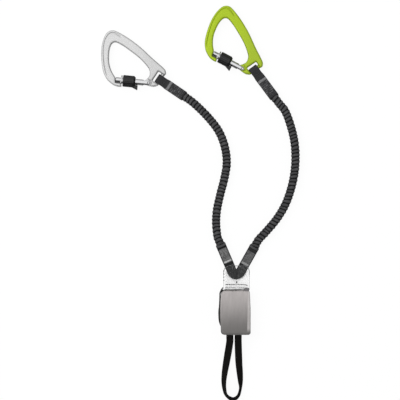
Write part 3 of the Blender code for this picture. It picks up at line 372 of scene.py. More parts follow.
def bar(name, grid, along, around, look, values=None):
    # A closed section carried along a path: grid[i, j] is point j of the section at station i.
    # The quads join neighbours in both directions, and a fan of triangles closes each end.
    rows, cols = grid.shape[:2]
    i, j = np.meshgrid(np.arange(rows - 1), np.arange(cols), indexing="ij")
    steps = ((0, 0), (1, 0), (1, 1), (0, 1))
    quads = np.stack([(i + di) * cols + (j + dj) % cols for di, dj in steps], -1)
    quadCorners = np.stack([np.stack([along[i + di], around[j + dj]], -1) for di, dj in steps], 2)
    points = np.vstack([grid.reshape(-1, 3), grid[0].mean(0), grid[-1].mean(0)])
    here, after = np.arange(cols), (np.arange(cols) + 1) % cols
    middle, last = rows * cols, (rows - 1) * cols
    capA = stacked(middle, here, after)
    capB = stacked(middle + 1, last + after, last + here)
    rim = (around.mean(), around[:-1], around[1:])
    cornersA = np.stack([stacked(along[0], np.broadcast_to(rim[k], cols)) for k in (0, 1, 2)], 1)
    cornersB = np.stack([stacked(along[-1], np.broadcast_to(rim[k], cols)) for k in (0, 2, 1)], 1)
    if values:
        values = {key: np.concatenate([v.reshape(-1), v[0].mean(keepdims=True), v[-1].mean(keepdims=True)])
                  for key, v in values.items()}
    return meshPiece(name, points, [quads.reshape(-1, 4), capA, capB],
                     [quadCorners.reshape(-1, 4, 2), cornersA, cornersB], look, values)


def strap(name, centre, side, halfWidth, halfThick, look, count=40, power=5.0, values=None):
    # Webbing: a flat rounded section carried along centre, its width along side
    run = direction(centre)
    side = unit(side - run * np.sum(side * run, axis=1, keepdims=True))
    x, y = squareRound(count, power)
    wide = np.broadcast_to(halfWidth, len(centre))[:, None]
    thick = np.broadcast_to(halfThick, len(centre))[:, None]
    grid = carried(centre, side, np.cross(run, side), x * wide, y * thick)
    around = distanceAround(stacked(x * wide.max(), y * thick.max()))
    values = {key: np.repeat(v[:, None], count, 1) for key, v in (values or {}).items()}
    return bar(name, grid, distanceAlong(centre), around, look, values)


# a stitch's length, radius and finish in each kind of seam
threads = {
    "tack": (4.6 * mm, 0.50 * mm, "tack"), "loop": (1.7 * mm, 0.34 * mm, "seam"),
    "lock": (1.9 * mm, 0.30 * mm, "seam"), "cross": (1.9 * mm, 0.30 * mm, "tack"),
    "label": (1.6 * mm, 0.20 * mm, "seam"), "knot": (2.8 * mm, 0.70 * mm, "darkStitch"),
    "upper": (2.4 * mm, 0.62 * mm, "darkStitch"), "lower": (2.2 * mm, 0.42 * mm, "paleStitch"),
    "sleeve": (2.7 * mm, 0.75 * mm, "darkStitch"),
}


def stitches(name, kind, centre, run, up=upright):
    # Short threads: an egg shape, round across and drawn out along run, at each centre. An egg has
    # five rings of six points and a tip at each end.
    length, radius, finish = threads[kind]
    rings, sectors = 5, 6
    t = np.linspace(0, math.pi, rings + 2)[1:-1, None]
    a = np.linspace(0, 2 * math.pi, sectors, endpoint=False)
    out = np.sin(t) ** 0.45 * radius
    shape = np.stack([-np.cos(t) * length / 2 * np.ones(sectors), out * np.cos(a), out * np.sin(a)], -1)
    run, up = (unit(np.broadcast_to(way, centre.shape)) for way in (run, up))
    ways = np.stack([run, np.cross(up, run), up], 1)
    body = centre[:, None, None] + np.einsum("ijk,nkl->nijl", shape, ways)
    tips = np.stack([centre - run * length / 2, centre + run * length / 2], 1)
    points = np.concatenate([body.reshape(len(centre), -1, 3), tips], 1)
    i, j = np.meshgrid(np.arange(rings - 1), np.arange(sectors), indexing="ij")
    steps = ((0, 0), (0, 1), (1, 1), (1, 0))
    quads = np.stack([(i + di) * sectors + (j + dj) % sectors for di, dj in steps], -1).reshape(-1, 4)
    here, after = np.arange(sectors), (np.arange(sectors) + 1) % sectors
    tip, last = rings * sectors, (rings - 1) * sectors
    tris = np.vstack([stacked(tip, after, here), stacked(tip + 1, last + here, last + after)])
    offset = (np.arange(len(centre)) * (tip + 2))[:, None, None]
    faces = [(quads + offset).reshape(-1, 4), (tris + offset).reshape(-1, 3)]
    corners = [np.zeros((*f.shape, 2)) for f in faces]
    return meshPiece(name, points.reshape(-1, 3), faces, corners, looks[finish])


def softened(name, node, voxel, rounds, look, turn=None, shape=None, marks=None):
    # A finer copy of a CAD node: merged, remeshed evenly, its edges worn round, then reshaped by points.
    # Marks gives an attribute's name and the function of the points that fills it.
    body = bmesh.new()
    body.from_mesh(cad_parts[node].data)
    bmesh.ops.remove_doubles(body, verts=body.verts, dist=0.005 * mm)
    mesh = bpy.data.meshes.new(name)
    body.to_mesh(mesh)
    body.free()
    if turn:
        mesh.transform(turn.inverted())
    piece = bpy.data.objects.new(name, mesh)
    bpy.context.scene.collection.objects.link(piece)
    remesh = piece.modifiers.new("even", "REMESH")
    remesh.mode = "VOXEL"
    remesh.voxel_size = voxel
    remesh.use_smooth_shade = True
    worn = piece.modifiers.new("worn", "SMOOTH")
    worn.factor = 0.5
    worn.iterations = rounds
    bpy.context.view_layer.update()
    done = bpy.data.meshes.new_from_object(piece.evaluated_get(bpy.context.evaluated_depsgraph_get()))
    piece.modifiers.clear()
    piece.data = done
    done.name = name
    if shape:
        places, normals = (np.empty(len(done.vertices) * 3, np.float32) for _ in range(2))
        done.vertices.foreach_get("co", places)
        done.vertex_normals.foreach_get("vector", normals)
        if marks:
            filled = done.attributes.new(marks[0], "FLOAT", "POINT")
            filled.data.foreach_set("value", marks[1](places.reshape(-1, 3)).astype(np.float32))
        moved = shape(places.reshape(-1, 3).astype(float), normals.reshape(-1, 3).astype(float))
        done.vertices.foreach_set("co", moved.astype(np.float32).reshape(-1))
        done.update()
    if turn:
        done.transform(turn)
    done.materials.clear()
    done.materials.append(look.material)
    done.shade_smooth()
    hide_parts(node)
    return piece


# Finishes


def wovenLook(name, slot, colour, pitch=1.5 * mm, depth=0.12 * mm, contrast=0.45, worn=0.12, rows=False):
    # Flat webbing: columns of V-shaped floats, a thread's shade, faint fuzz and wear, and where it is
    # sewn through, uneven paler rows across it
    look = Look(name, slot, Roughness=0.8, Specular_IOR_Level=0.12)
    along, across = look.weave()
    slant = abs((across / pitch).part() - 0.5)
    floats = (along / (pitch * 0.62) + slant * 1.6).swing()
    height = floats * (1 - (slant * 2) ** 3)
    fuzz = look.noise(look.place(), 900.0, 3.0)
    patch = look.noise(look.place(), 45.0)
    tint = look.mix(height * 0.75 + fuzz * 0.25, shaded(colour, 1 - contrast), shaded(colour, 1 + contrast))
    tint = look.mix(patch.rise(0.35, 0.75) * worn, tint, shaded(colour, 1.9, 0.01))
    if rows:
        ridge = (along / (3.1 * mm)).swing()
        broken = look.noise(look.place(), 230.0, 1.0).rise(0.42, 0.60)
        sewn = look.value("sewn") * ridge.rise(0.35, 0.8) * broken
        tint = look.mix(sewn, tint, shaded(colour, 3.6))
    return look.feed(bumps=[(height, depth), (fuzz, depth * 0.5)], Base_Color=tint)


def ribbedLook():
    # Gathered elastic webbing: rib backs with lengthwise threads, and the valleys between ribs painted near
    # black, a painted shade
    look = Look("ribbedWebbing", "ribbed_elastic_webbing", Roughness=0.8, Specular_IOR_Level=0.15)
    along, across = look.weave()
    rib = look.value("rib")
    lengthwise = (across / (0.95 * mm)).swing()
    picks = (along / (0.7 * mm) + (across / (1.9 * mm)).sine() * 0.4).swing()
    fuzz = look.noise(look.place(), 700.0, 3.0)
    knit = lengthwise * 0.6 + picks * 0.4
    shade = look.noise(look.place(), 130.0).rise(0.3, 0.7)
    back = look.mix(knit * 0.3 + fuzz * 0.35 + shade * 0.35, (0.020, 0.020, 0.0215), (0.102, 0.102, 0.105))
    # painted shade: near black in the valleys, while the rib backs keep the webbing's tone
    tint = look.mix(rib.rise(0.35, 0.95), (0.006, 0.006, 0.0065), back)
    return look.feed(bumps=[(knit, 0.16 * mm), (fuzz, 0.1 * mm)], Base_Color=tint)


def metalLook(name, slot, colour, roughness, metallic, grain=260.0):
    # Forged, tumbled and anodised metal: a fine grain, a few rubbed scratches, duller patches, and a
    # near-black
    # grey where the attribute shade marks it: painted shade in the nose pocket and a slight darkening towards
    # the slot
    look = Look(name, slot, Metallic=metallic)
    where = look.place()
    fine = look.noise(where, grain * 6)
    patch = look.noise(where, 60.0, 3.0)
    scratch = look.noise(where.times(1.0, 0.12, 1.0), 900.0).rise(0.66, 0.72) * 0.5
    tint = look.mix(patch, shaded(colour, 0.98), shaded(colour, 1.015))
    tint = look.mix(scratch * 0.2, tint, shaded(colour, 1.25, 0.05))
    # painted shade: near-black grey where the attribute shade marks the nose pocket
    tint = look.mix(look.value("shade"), tint, grey(0.09))
    dull = roughness + (patch - 0.5) * 0.16 + scratch * 0.12
    return look.feed(bumps=[(fine, 0.002 * mm), (scratch, 0.006 * mm)], Base_Color=tint, Roughness=dull)


def plasticLook(name, slot, colour, roughness):
    # Moulded nylon: a fine spark-eroded grain and slightly polished high spots
    look = Look(name, slot, Specular_IOR_Level=0.5)
    grain = look.noise(look.place(), 1400.0)
    patch = look.noise(look.place(), 120.0)
    tint = look.mix(patch, shaded(colour, 0.8), shaded(colour, 1.3))
    return look.feed(bumps=[(grain, 0.03 * mm)], Base_Color=tint, Roughness=roughness + patch * 0.15)


def threadLook(name, slot, colour):
    look = Look(name, slot, Roughness=0.6)
    twist = look.node("ShaderNodeTexWave", {"wave_type": "BANDS", "bands_direction": "DIAGONAL"},
                      {"Vector": look.place(), "Scale": 900.0, "Distortion": 0.5})
    tint = look.mix(twist, shaded(colour, 0.7), shaded(colour, 1.25))
    return look.feed(bumps=[(twist, 0.05 * mm)], Base_Color=tint)


def pouchLook():
    # Coated grey cloth: plain weave, painted light that runs from light towards the V to dark at the lower
    # end, a painted highlight along the right edge, a dark line along the left seam, and painted shade at the
    # lower end
    look = Look("coverCloth", "grey_pouch_fabric", Roughness=0.72, Specular_IOR_Level=0.2)
    where = look.place()
    x, y = where.parts()[:2]
    weft, warp = (((place / (0.55 * mm)) * (2 * math.pi)).sine() for place in (x, y))
    cloth = weft * warp * 0.5 + 0.5
    # painted light and shade: lighter towards the V, darker towards the lower end
    tint = look.mix(y.rise(-34 * mm, 36 * mm), (0.157, 0.150, 0.145), (0.457, 0.427, 0.420))
    # painted highlight along the right edge
    edge = (x - y * 0.02).rise(19.5 * mm, 20.5 * mm) * y.rise(-33 * mm, -24 * mm)
    tint = look.mix(edge * 0.6, tint, (0.66, 0.63, 0.62))
    seam = x.rise(-20.4 * mm, -20.1 * mm) * (1 - x.rise(-19.6 * mm, -19.3 * mm)) * y.rise(-6 * mm, 4 * mm)
    tint = look.mix(seam * 0.25, tint, (0.09, 0.088, 0.086))
    # painted shade at the lower end
    tint = look.mix((1 - y.rise(-36 * mm, -31 * mm)) * 0.45, tint, (0.09, 0.086, 0.083))
    streak = look.noise(where.times(1.0, 0.2, 1.0), 240.0)
    tint = look.mix(streak.rise(0.3, 0.75) * 0.16, tint, (0.13, 0.125, 0.12))
    tint = look.mix((1 - cloth) * 0.10, tint, grey(0.10))
    fuzz = look.noise(where, 500.0, 3.0)
    return look.feed(bumps=[(cloth, 0.05 * mm), (fuzz, 0.06 * mm)], Base_Color=tint)


def filmLook():
    # Clear flexible film: mostly see-through, a milky tint, fine scuffs
    look = Look("clearFilm", "clear_film", Roughness=0.12)
    scuff = look.noise(look.place().times(1.0, 0.35, 1.0), 420.0, 3.0).rise(0.55, 0.8)
    tint = look.mix(scuff, (0.80, 0.81, 0.82), grey(0.95))
    return look.feed(bumps=[(scuff, 0.02 * mm)], Base_Color=tint, Alpha=0.012 + scuff * 0.04)


def labelLook(name, tones, stripe, bright, length):
    # Woven label: a fine satin ground with worn specks, and a reflective stripe across one end
    look = Look(name, "grey_label_fabric", Roughness=0.6, Specular_IOR_Level=0.2)
    along, across = look.weave()
    satin = ((along + across * 0.5) / (0.42 * mm)).swing()
    specks = look.noise(look.place(), 420.0).rise(0.36, 0.64)
    broad = look.noise(look.place(), 150.0, 1.0).rise(0.3, 0.7)
    tint = look.mix(satin * 0.2 + specks * 0.5 + broad * 0.3, grey(tones[0]), grey(tones[1]))
    low, high = stripe
    band = along.rise(low - 0.2 * mm, low + 0.2 * mm) * (1 - along.rise(high - 0.2 * mm, high + 0.2 * mm))
    tint = look.mix(band * (0.75 + specks * 0.5).least(1.0), tint, grey(bright))
    ends = 1 - along.rise(0.2 * mm, 1.2 * mm) * (1 - along.rise(length - 1.2 * mm, length - 0.2 * mm))
    tint = look.mix(ends * 0.8, tint, (0.03, 0.03, 0.032))
    return look.feed(bumps=[(satin, 0.05 * mm), (specks, 0.08 * mm)], Base_Color=tint)


def softLook(name, slot, first, second, scale, depth=0.1 * mm, roughness=0.7, alpha=None):
    # plain soft material in two close tones
    look = Look(name, slot, Roughness=roughness, Specular_IOR_Level=0.3)
    tone = look.noise(look.place(), scale)
    wires = {"Base_Color": look.mix(tone, first, second)}
    if alpha:
        wires["Alpha"] = tone * 0.3 + alpha
    return look.feed(bumps=[(tone, depth)], **wires)


looks = {
    "ribs": ribbedLook(),
    "core": softLook("elasticStrands", "elastic_rubber", (0.52, 0.50, 0.44), (0.68, 0.65, 0.58), 500.0),
    # painted shade: a dark grey bead for the dark line along the clear film's edge
    "rim": softLook("filmRim", "clear_film", (0.05, 0.05, 0.052), (0.22, 0.22, 0.225), 260.0,
                    depth=0.02 * mm, roughness=0.3, alpha=0.6),
    "seamTape": wovenLook("seamTape", "grey_pouch_fabric", (0.20, 0.195, 0.19), pitch=0.7 * mm),
    "endStrap": wovenLook("endStrapWebbing", "black_webbing", (0.036, 0.036, 0.038), rows=True),
    "leftRoot": wovenLook("leftRootWebbing", "black_webbing", (0.018, 0.018, 0.0185)),
    "rightRoot": wovenLook("rightRootWebbing", "black_webbing", (0.025, 0.025, 0.0255)),
    "tieIn": wovenLook("tieInWebbing", "black_webbing", (0.0055, 0.0050, 0.0044), contrast=0.6, worn=0.03),
    "absorber": wovenLook("absorberWebbing", "white_webbing", grey(0.96), depth=0.05 * mm, contrast=0.02,
                          worn=0.0),
    "tape": wovenLook("bindingTape", "binding_tape", (0.16, 0.16, 0.155), pitch=1.0 * mm),
    "tab": wovenLook("pullTabTape", "binding_tape", (0.155, 0.15, 0.155), pitch=1.0 * mm),
    "blackCloth": wovenLook("blackCloth", "black_pouch_fabric", (0.045, 0.044, 0.043), pitch=0.8 * mm),
    "tack": threadLook("tackThread", "grey_tack_thread", (0.20, 0.20, 0.205)),
    "seam": threadLook("seamThread", "grey_tack_thread", (0.075, 0.075, 0.08)),
    "darkStitch": threadLook("darkStitchThread", "stitch_thread", grey(0.045)),
    "paleStitch": threadLook("paleStitchThread", "stitch_thread", grey(0.26)),
    "silver": metalLook("silverFrame", "grey_forged_aluminium", grey(0.69), 0.26, 0.65),
    "lime": metalLook("limeFrame", "lime_anodised_aluminium", (0.40, 0.55, 0.016), 0.30, 0.45),
    "gate": metalLook("gateMetal", "silver_gate_metal", (0.84, 0.84, 0.85), 0.16, 1.0, grain=400.0),
    "steel": metalLook("ringSteel", "polished_steel", (0.82, 0.82, 0.83), 0.14, 1.0, grain=400.0),
    "wire": metalLook("springWire", "spring_steel", (0.50, 0.50, 0.51), 0.3, 1.0),
    "brass": metalLook("plungerBrass", "plunger_brass", (0.55, 0.45, 0.22), 0.3, 1.0),
    "nylon": plasticLook("lockNylon", "black_nylon_plastic", (0.007, 0.007, 0.0075), 0.20),
    "cover": pouchLook(),
    "film": filmLook(),
}
print("finishes done")

# Arms: the ribbed stretch of each, the free cord of the object

arms = {
    "left": {
        "start": (-82.149, 346.213, 6.8), "run": (0.82806, -0.56064, 0.0),
        "route": [(-59.0, 328.3, 6.8), (-41.1, 309.9, 6.8), (-25.7, 289.1, 6.8), (-16.4, 265.0, 6.8),
                  (-13.2, 239.2, 6.8), (-17.0, 214.0, 6.8), (-23.4, 189.0, 6.8), (-28.8, 164.0, 6.8),
                  (-30.2, 142.0, 7.6)],
        "pivot": (-2.6, 60.2, 9.7), "fold": (-22.3, 106.6, 9.7), "strapEnd": 272, "gather": 45.9,
        "seed": 4, "bow": 0.38, "slant": 0.06,
        "bar": (-120.488, 372.170, 9.03),
    },
    "right": {
        "start": (62.385, 345.153, 6.8), "run": (0.59762, -0.80178, 0.0),
        "route": [(80.7, 321.0, 6.8), (89.6, 296.8, 6.8), (95.2, 272.0, 6.8), (96.8, 246.4, 6.8),
                  (94.8, 220.8, 6.8), (89.2, 195.8, 6.8), (80.3, 171.8, 6.8), (67.2, 149.8, 6.8),
                  (50.9, 130.2, 6.8)],
        "pivot": (6.3, 60.2, 6.8), "fold": (30.3, 103.0, 6.8), "strapEnd": 238, "gather": 45.6,
        "seed": 9, "bow": 0.10, "slant": 0.24,
        "bar": (30.532, 387.887, 9.03),
    },
}
ribbed = {
    "pitch": 5.8 * mm, "endRun": 13.4 * mm, "endGap": 1.6 * mm, "diameter": 13.4 * mm,
    "crest": 7.4 * mm, "valley": 6.15 * mm, "height": 6.65 * mm, "rowsPerRib": 14, "around": 56,
    "flatWidth": 7.0 * mm, "flatThick": 2.6 * mm, "flatRun": 5.0 * mm, "settleRun": 3.0 * mm,
    "uneven": {"place": 0.05, "height": 0.08, "slant": 0.07, "lean": 0.06},
    "coreRadius": 2.75 * mm, "coreInset": 4.0 * mm, "corePress": 9.0 * mm, "strands": 8,
}


def placesOf(side, *names):
    return [np.array(arms[side][name]) * mm for name in names]


def armPath(side):
    # straight out of both flat straps, and a smooth curve through the route's points between them
    start, fold, pivot = placesOf(side, "start", "fold", "pivot")
    rootRun = unit(fold - pivot)
    end = fold + rootRun * ribbed["endGap"]
    middle = [start + np.array(arms[side]["run"]) * ribbed["endRun"]]
    middle += [np.array(p) * mm for p in arms[side]["route"]]
    middle += [end + rootRun * ribbed["endRun"]]
    return np.vstack([start[None], smoothRun(middle, 8), end[None]])


def buildCore(side, centre):
    # bundle of rubber strands: a circle with soft lobes, pressed flat where it is sewn in
    inset = round(ribbed["coreInset"] / ribbed["pitch"] * ribbed["rowsPerRib"])
    line = centre[inset:-inset:2]
    along = distanceAlong(line)
    angle = np.linspace(0, 2 * math.pi, 48, endpoint=False)
    radius = ribbed["coreRadius"] * (1 - 0.07 * np.cos(ribbed["strands"] * angle))
    press = within(along, 0, along[-1], ribbed["corePress"])[:, None]
    wide = radius * np.cos(angle) * (1.25 - 0.25 * press)
    thick = radius * np.sin(angle) * (0.4 + 0.6 * press)
    grid = carried(line, *levelSides(direction(line)), wide, thick)
    around = np.linspace(0, 2 * math.pi, 49) * ribbed["coreRadius"]
    piece = bar(f"{side}_rubber_strands", grid, along, around, looks["core"])
    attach(piece, f"{side}_arm")
    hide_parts(f"{side}_elastic_core")
    return piece


def buildRibbed(side):
    # Radius at arc length s and angle a round the path: valley + (crest - valley) * back(s, a). back is a
    # flat hump per rib above and below and a pointed one at both sides, where the rib runs late or
    # early by bow and slant. Places, heights and slants vary from rib to rib. Both ends flatten.
    path = armPath(side)
    length = distanceAlong(path)[-1]
    count = round(length / ribbed["pitch"])
    centre = evenRun(path, count * ribbed["rowsPerRib"] + 1)
    for _ in range(6):
        centre[1:-1] = (centre[:-2] + 2 * centre[1:-1] + centre[2:]) / 4
    s = distanceAlong(centre)
    dice = np.random.default_rng(arms[side]["seed"])
    ribAt = np.arange(count + 1)
    uneven = {key: dice.normal(0, amount, count + 1) for key, amount in ribbed["uneven"].items()}
    uneven["place"][[0, -1]] = 0
    x, y = squareRound(ribbed["around"], 2.3)
    share = s / s[-1] * count
    late, slant, lean = (np.interp(share, ribAt, uneven[key])[:, None] for key in ("place", "slant", "lean"))
    phase = share[:, None] + late + slant * x + lean * y
    phase = phase - arms[side]["bow"] * x**2 - arms[side]["slant"] * x
    off = np.abs(2 * (phase % 1.0) - 1)
    back = (1 - off**2.2) ** 0.9 * (1 - x**2) + (1 - off) ** 1.1 * x**2
    tall = np.interp(share, ribAt + 0.5, 1 + uneven["height"])[:, None]
    rise = (ribbed["crest"] - ribbed["valley"]) * back * tall
    settle, ease = (within(s, 0, s[-1], ribbed[key])[:, None] for key in ("settleRun", "flatRun"))
    ease = eased(ease)
    wide = ribbed["flatWidth"] * (1 - ease) + ribbed["valley"] * ease
    wide = wide + rise * (0.5 + 0.5 * ease) * (1 - 0.25 * x**2)
    thick = ribbed["flatThick"] * (1 - ease) + (ribbed["valley"] - 0.2 * mm) * ease
    thick = np.minimum(thick + rise * (0.3 + 0.65 * ease) * settle, ribbed["height"])
    grid = carried(centre, *levelSides(direction(centre)), x * wide, y * thick)
    around = distanceAround(stacked(x, y) * ribbed["crest"])
    # back also marks where the painted valley shade falls
    piece = bar(f"{side}_ribbed_arm", grid, s, around, looks["ribs"], {"rib": back})
    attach(piece, f"{side}_arm")
    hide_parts(f"{side}_sheath")
    core = buildCore(side, centre)


for side in sides:
    buildRibbed(side)
print("ribbed arms done")

# Flat straps: the end strap looped round the carabiner's bar, and the root strap under the label

endStrap = {
    "halfWidth": 7.4 * mm, "spread": 0.65 * mm, "web": 1.55 * mm, "past": 1.5 * mm,
    "barMiddle": 4.72 * mm, "barTurn": (-62, -298),
    # distance from the bar's middle, and half the gap between the two layers' middles
    "layers": [(30.0 * mm, 0.775 * mm), (16.0 * mm, 0.805 * mm), (10.5 * mm, 1.15 * mm),
               (6.0 * mm, 2.75 * mm)],
    "sewnFrom": 22 * mm, "sewnShort": 4 * mm,
    "tackPlace": {"left": 18.2 * mm, "right": 21.4 * mm}, "tackThreads": 19, "tackHalf": 6.8 * mm,
    "tackRise": 0.12 * mm, "tackUneven": 0.3 * mm, "tackSlant": 0.10,
    "loopPlace": 8.5 * mm, "loopRise": 2.95 * mm, "loopHalf": 5.8 * mm,
    "lockFrom": 25.0 * mm, "lockShort": 3 * mm, "lockPitch": 2.5 * mm, "lockShift": 1.2 * mm,
    "lockRise": 0.10 * mm, "lockLanes": (-5.2, -2.6, 0.0, 2.6, 5.2),
}


def buildEndStrap(side):
    # Middle line of the webbing, seen from its edge: in from the ribs, round the bar, back on top
    middle, start = placesOf(side, "bar", "start")
    length = np.linalg.norm(start - middle)
    run = unit(start - middle)
    across, up = levelSides(run)
    web, reach = endStrap["web"], endStrap["barMiddle"]
    turn = np.radians(np.linspace(*endStrap["barTurn"], 15))
    upper = [(length + endStrap["past"], web / 2)] + endStrap["layers"]
    low = [(x, -y) for x, y in upper]
    loop = stacked(reach * np.cos(turn), reach * np.sin(turn))
    profile = smoothRun(low + loop.tolist() + upper[::-1], 5)
    x = profile[:, 0]
    onTop = profile[:, 1] > 0
    profile[:, 1] += 0.10 * mm * np.sin(x / (4.3 * mm)) * ramp(x, 12 * mm, 24 * mm) * onTop
    centre = middle + profile[:, :1] * run + profile[:, 1:] * up
    wide = endStrap["halfWidth"] + endStrap["spread"] * eased(ramp(x, 9 * mm, 15 * mm))
    sewn = onTop * within(x, endStrap["sewnFrom"], length - endStrap["sewnShort"], 3 * mm)
    piece = strap(f"{side}_end_webbing", centre, across, wide, web / 2, looks["endStrap"],
                  values={"sewn": sewn})
    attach(piece, f"{side}_arm")
    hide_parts(f"{side}_end_strap")

    # bar tack across the strap, and the rows of locking stitches that run on to the ribs
    count, half = endStrap["tackThreads"], endStrap["tackHalf"]
    dice = np.random.default_rng(arms[side]["seed"] + 20)
    alongTack = endStrap["tackPlace"][side] + dice.normal(0, endStrap["tackUneven"], count)[:, None]
    spots = np.linspace(-half, half, count)[:, None]
    centres = middle + alongTack * run + spots * across + (web + endStrap["tackRise"]) * up
    piece = stitches(f"{side}_tack_threads", "tack", centres, run + endStrap["tackSlant"] * across, up)
    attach(piece, f"{side}_arm")
    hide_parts(f"{side}_bar_tack")
    spots = np.linspace(-1, 1, 6)[:, None] * endStrap["loopHalf"]
    centres = middle + endStrap["loopPlace"] * run + spots * across + endStrap["loopRise"] * up
    piece = stitches(f"{side}_loop_stitches", "loop", centres, across, up)
    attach(piece, f"{side}_arm")
    steps = np.arange(endStrap["lockFrom"], length - endStrap["lockShort"], endStrap["lockPitch"])
    lanes = np.array(endStrap["lockLanes"]) * mm
    stations, lane = np.meshgrid(steps, lanes, indexing="ij")
    stations = stations + (np.arange(len(lanes)) % 2) * endStrap["lockShift"]
    stations, lane = stations.reshape(-1, 1), lane.reshape(-1, 1)
    centres = middle + stations * run + lane * across + (web + endStrap["lockRise"]) * up
    piece = stitches(f"{side}_lock_stitches", "lock", centres, run, up)
    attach(piece, f"{side}_arm")


rootStrap = {
    "halfWidth": 7.95 * mm, "halfThick": 1.3 * mm, "past": 2.8 * mm, "notch": (2.5 * mm, 68.1 * mm),
    "endDraw": 5 * mm, "blendHalf": 3 * mm, "gatherPast": 2.4 * mm, "gatherHalfThick": 1.5 * mm,
}
labels = {
    "left": {"middle": 33.0 * mm, "tones": (0.050, 0.200), "stripe": (1.6 * mm, 4.2 * mm), "bright": 0.43},
    "right": {"middle": 29.6 * mm, "tones": (0.036, 0.150), "stripe": (0.6 * mm, 4.4 * mm), "bright": 0.25},
    "length": 25 * mm, "halfWidth": 6.6 * mm, "halfThick": 0.34 * mm, "lift": 0.22 * mm, "press": 0.28 * mm,
    "seamPitch": 2.1 * mm, "seamLane": 6.0 * mm, "seamEnd": 11.7 * mm, "crossBelow": 5.0 * mm,
}


def rootLine(side):
    # pivot and fold, the way from the first to the second, and the level way across it
    pivot, fold = placesOf(side, "pivot", "fold")
    run = unit(fold - pivot)
    return pivot, fold, run, np.array([run[1], -run[0], 0.0])


def buildRoot(side):
    # Straight from the fold to where the line touches a circle round the V's notch, then round the
    # circle to the strap's end, so that both straps together make a U
    pivot, fold, run, across = rootLine(side)
    notch = np.array([*rootStrap["notch"], pivot[2]])
    touch = pivot + run * np.dot(notch - pivot, run)
    radius = np.linalg.norm(touch - notch)
    first = math.degrees(math.atan2(touch[1] - notch[1], touch[0] - notch[0])) % 360
    turn = np.radians(np.linspace(arms[side]["strapEnd"], first, 26))
    bend = notch + radius * stacked(np.cos(turn), np.sin(turn), 0.0)
    straight = np.linspace(0, 1, 60)[1:, None] * (fold + run * rootStrap["past"] - touch) + touch
    centre = np.vstack([bend, straight])
    s = distanceAlong(centre)
    level = direction(centre)
    end = np.clip(s / (0.9 * mm), 0.35, 1)
    fromEnd = ramp(s, s[-1] - rootStrap["endDraw"], s[-1])
    piece = strap(f"{side}_root_webbing", centre, stacked(level[:, 1], -level[:, 0], 0.0),
                  rootStrap["halfWidth"] - 0.1 * mm * fromEnd,
                  rootStrap["halfThick"] * end * (1 - 0.15 * fromEnd), looks[f"{side}Root"])
    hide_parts(f"{side}_root_strap")
    reach = run * rootStrap["blendHalf"]
    limits = {"start": tuple(fold - reach), "end": tuple(fold + reach)}
    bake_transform(piece)

    # last ribs, pressed on to the strap between the label and the fold: one hump per rib, as on the arm
    length = np.linalg.norm(fold - pivot)
    s = np.linspace(arms[side]["gather"] * mm, length + rootStrap["gatherPast"], 26)[:, None]
    x, y = squareRound(48, 3.0)
    off = np.abs(2 * ((s - s[-1]) / ribbed["pitch"] % 1.0 - 0.14 * x**2) - 1)
    back = np.clip(1 - off**2.2, 0, 1)
    ends = np.clip((s - s[0]) / (1.0 * mm), 0.3, 1)
    wide = rootStrap["halfWidth"] - 0.1 * mm + 0.3 * mm * back
    thick = (rootStrap["gatherHalfThick"] + 0.75 * mm * back) * ends
    thick = thick + 0.6 * mm * np.linspace(0, 1, len(s))[:, None]
    grid = carried(pivot + s * run, across, upright, x * wide, y * thick)
    rim = distanceAround(stacked(x, y) * rootStrap["halfWidth"])
    # back also marks where the painted valley shade falls
    piece = bar(f"{side}_gathered_end", grid, s[:, 0], rim, looks["ribs"], {"rib": back})
    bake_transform(piece)


def buildLabel(side):
    # woven label, its edges pressed down on the strap by the eighth power of the distance to its middle
    pivot, _, run, across = rootLine(side)
    label, size = labels[side], labels["length"]
    t = np.linspace(0, 1, 40)
    place = pivot + (label["middle"] + (t - 0.5) * size)[:, None] * run
    rise = rootStrap["halfThick"] + labels["halfThick"] + labels["lift"]
    place[:, 2] += rise - labels["press"] * np.abs(2 * t - 1) ** 8
    finish = labelLook(f"{side}LabelCloth", label["tones"], label["stripe"], label["bright"], size)
    piece = strap(f"{side}_woven_label", place, across, labels["halfWidth"], labels["halfThick"], finish,
                  power=9.0)
    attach(piece, f"{side}_arm_root")
    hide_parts(f"{side}_label")

    # seam across the strap below the label, and the stitch row round the label
    lanes = np.linspace(-5.6, 5.6, 6)[:, None] * mm
    low = pivot + (label["middle"] - size / 2 - labels["crossBelow"]) * run + lanes * across
    low[:, 2] += rootStrap["halfThick"] + 0.05 * mm
    piece = stitches(f"{side}_cross_seam", "cross", low, across + 0.1 * run)
    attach(piece, f"{side}_arm_root")
    edge = np.arange(-size / 2 + 1.2 * mm, size / 2 - 0.8 * mm, labels["seamPitch"])
    ends = np.linspace(-4.9, 4.9, 6) * mm
    rows = [stacked(edge, lane) for lane in (-labels["seamLane"], labels["seamLane"])]
    rows += [stacked(end, ends) for end in (-labels["seamEnd"], labels["seamEnd"])]
    ways = np.repeat([run, run, across, across], [len(row) for row in rows], axis=0)
    spots = np.vstack(rows)
    centres = pivot + (label["middle"] + spots[:, :1]) * run + spots[:, 1:] * across
    centres[:, 2] += rise + labels["halfThick"] * 0.8
    piece = stitches(f"{side}_label_stitches", "label", centres, ways)
    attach(piece, f"{side}_arm_root")


for side in sides:
    buildEndStrap(side)
    buildRoot(side)
    buildLabel(side)
print("flat straps and labels done")

# Tie-in webbing: one strap from inside the pouch, round the loop and back in

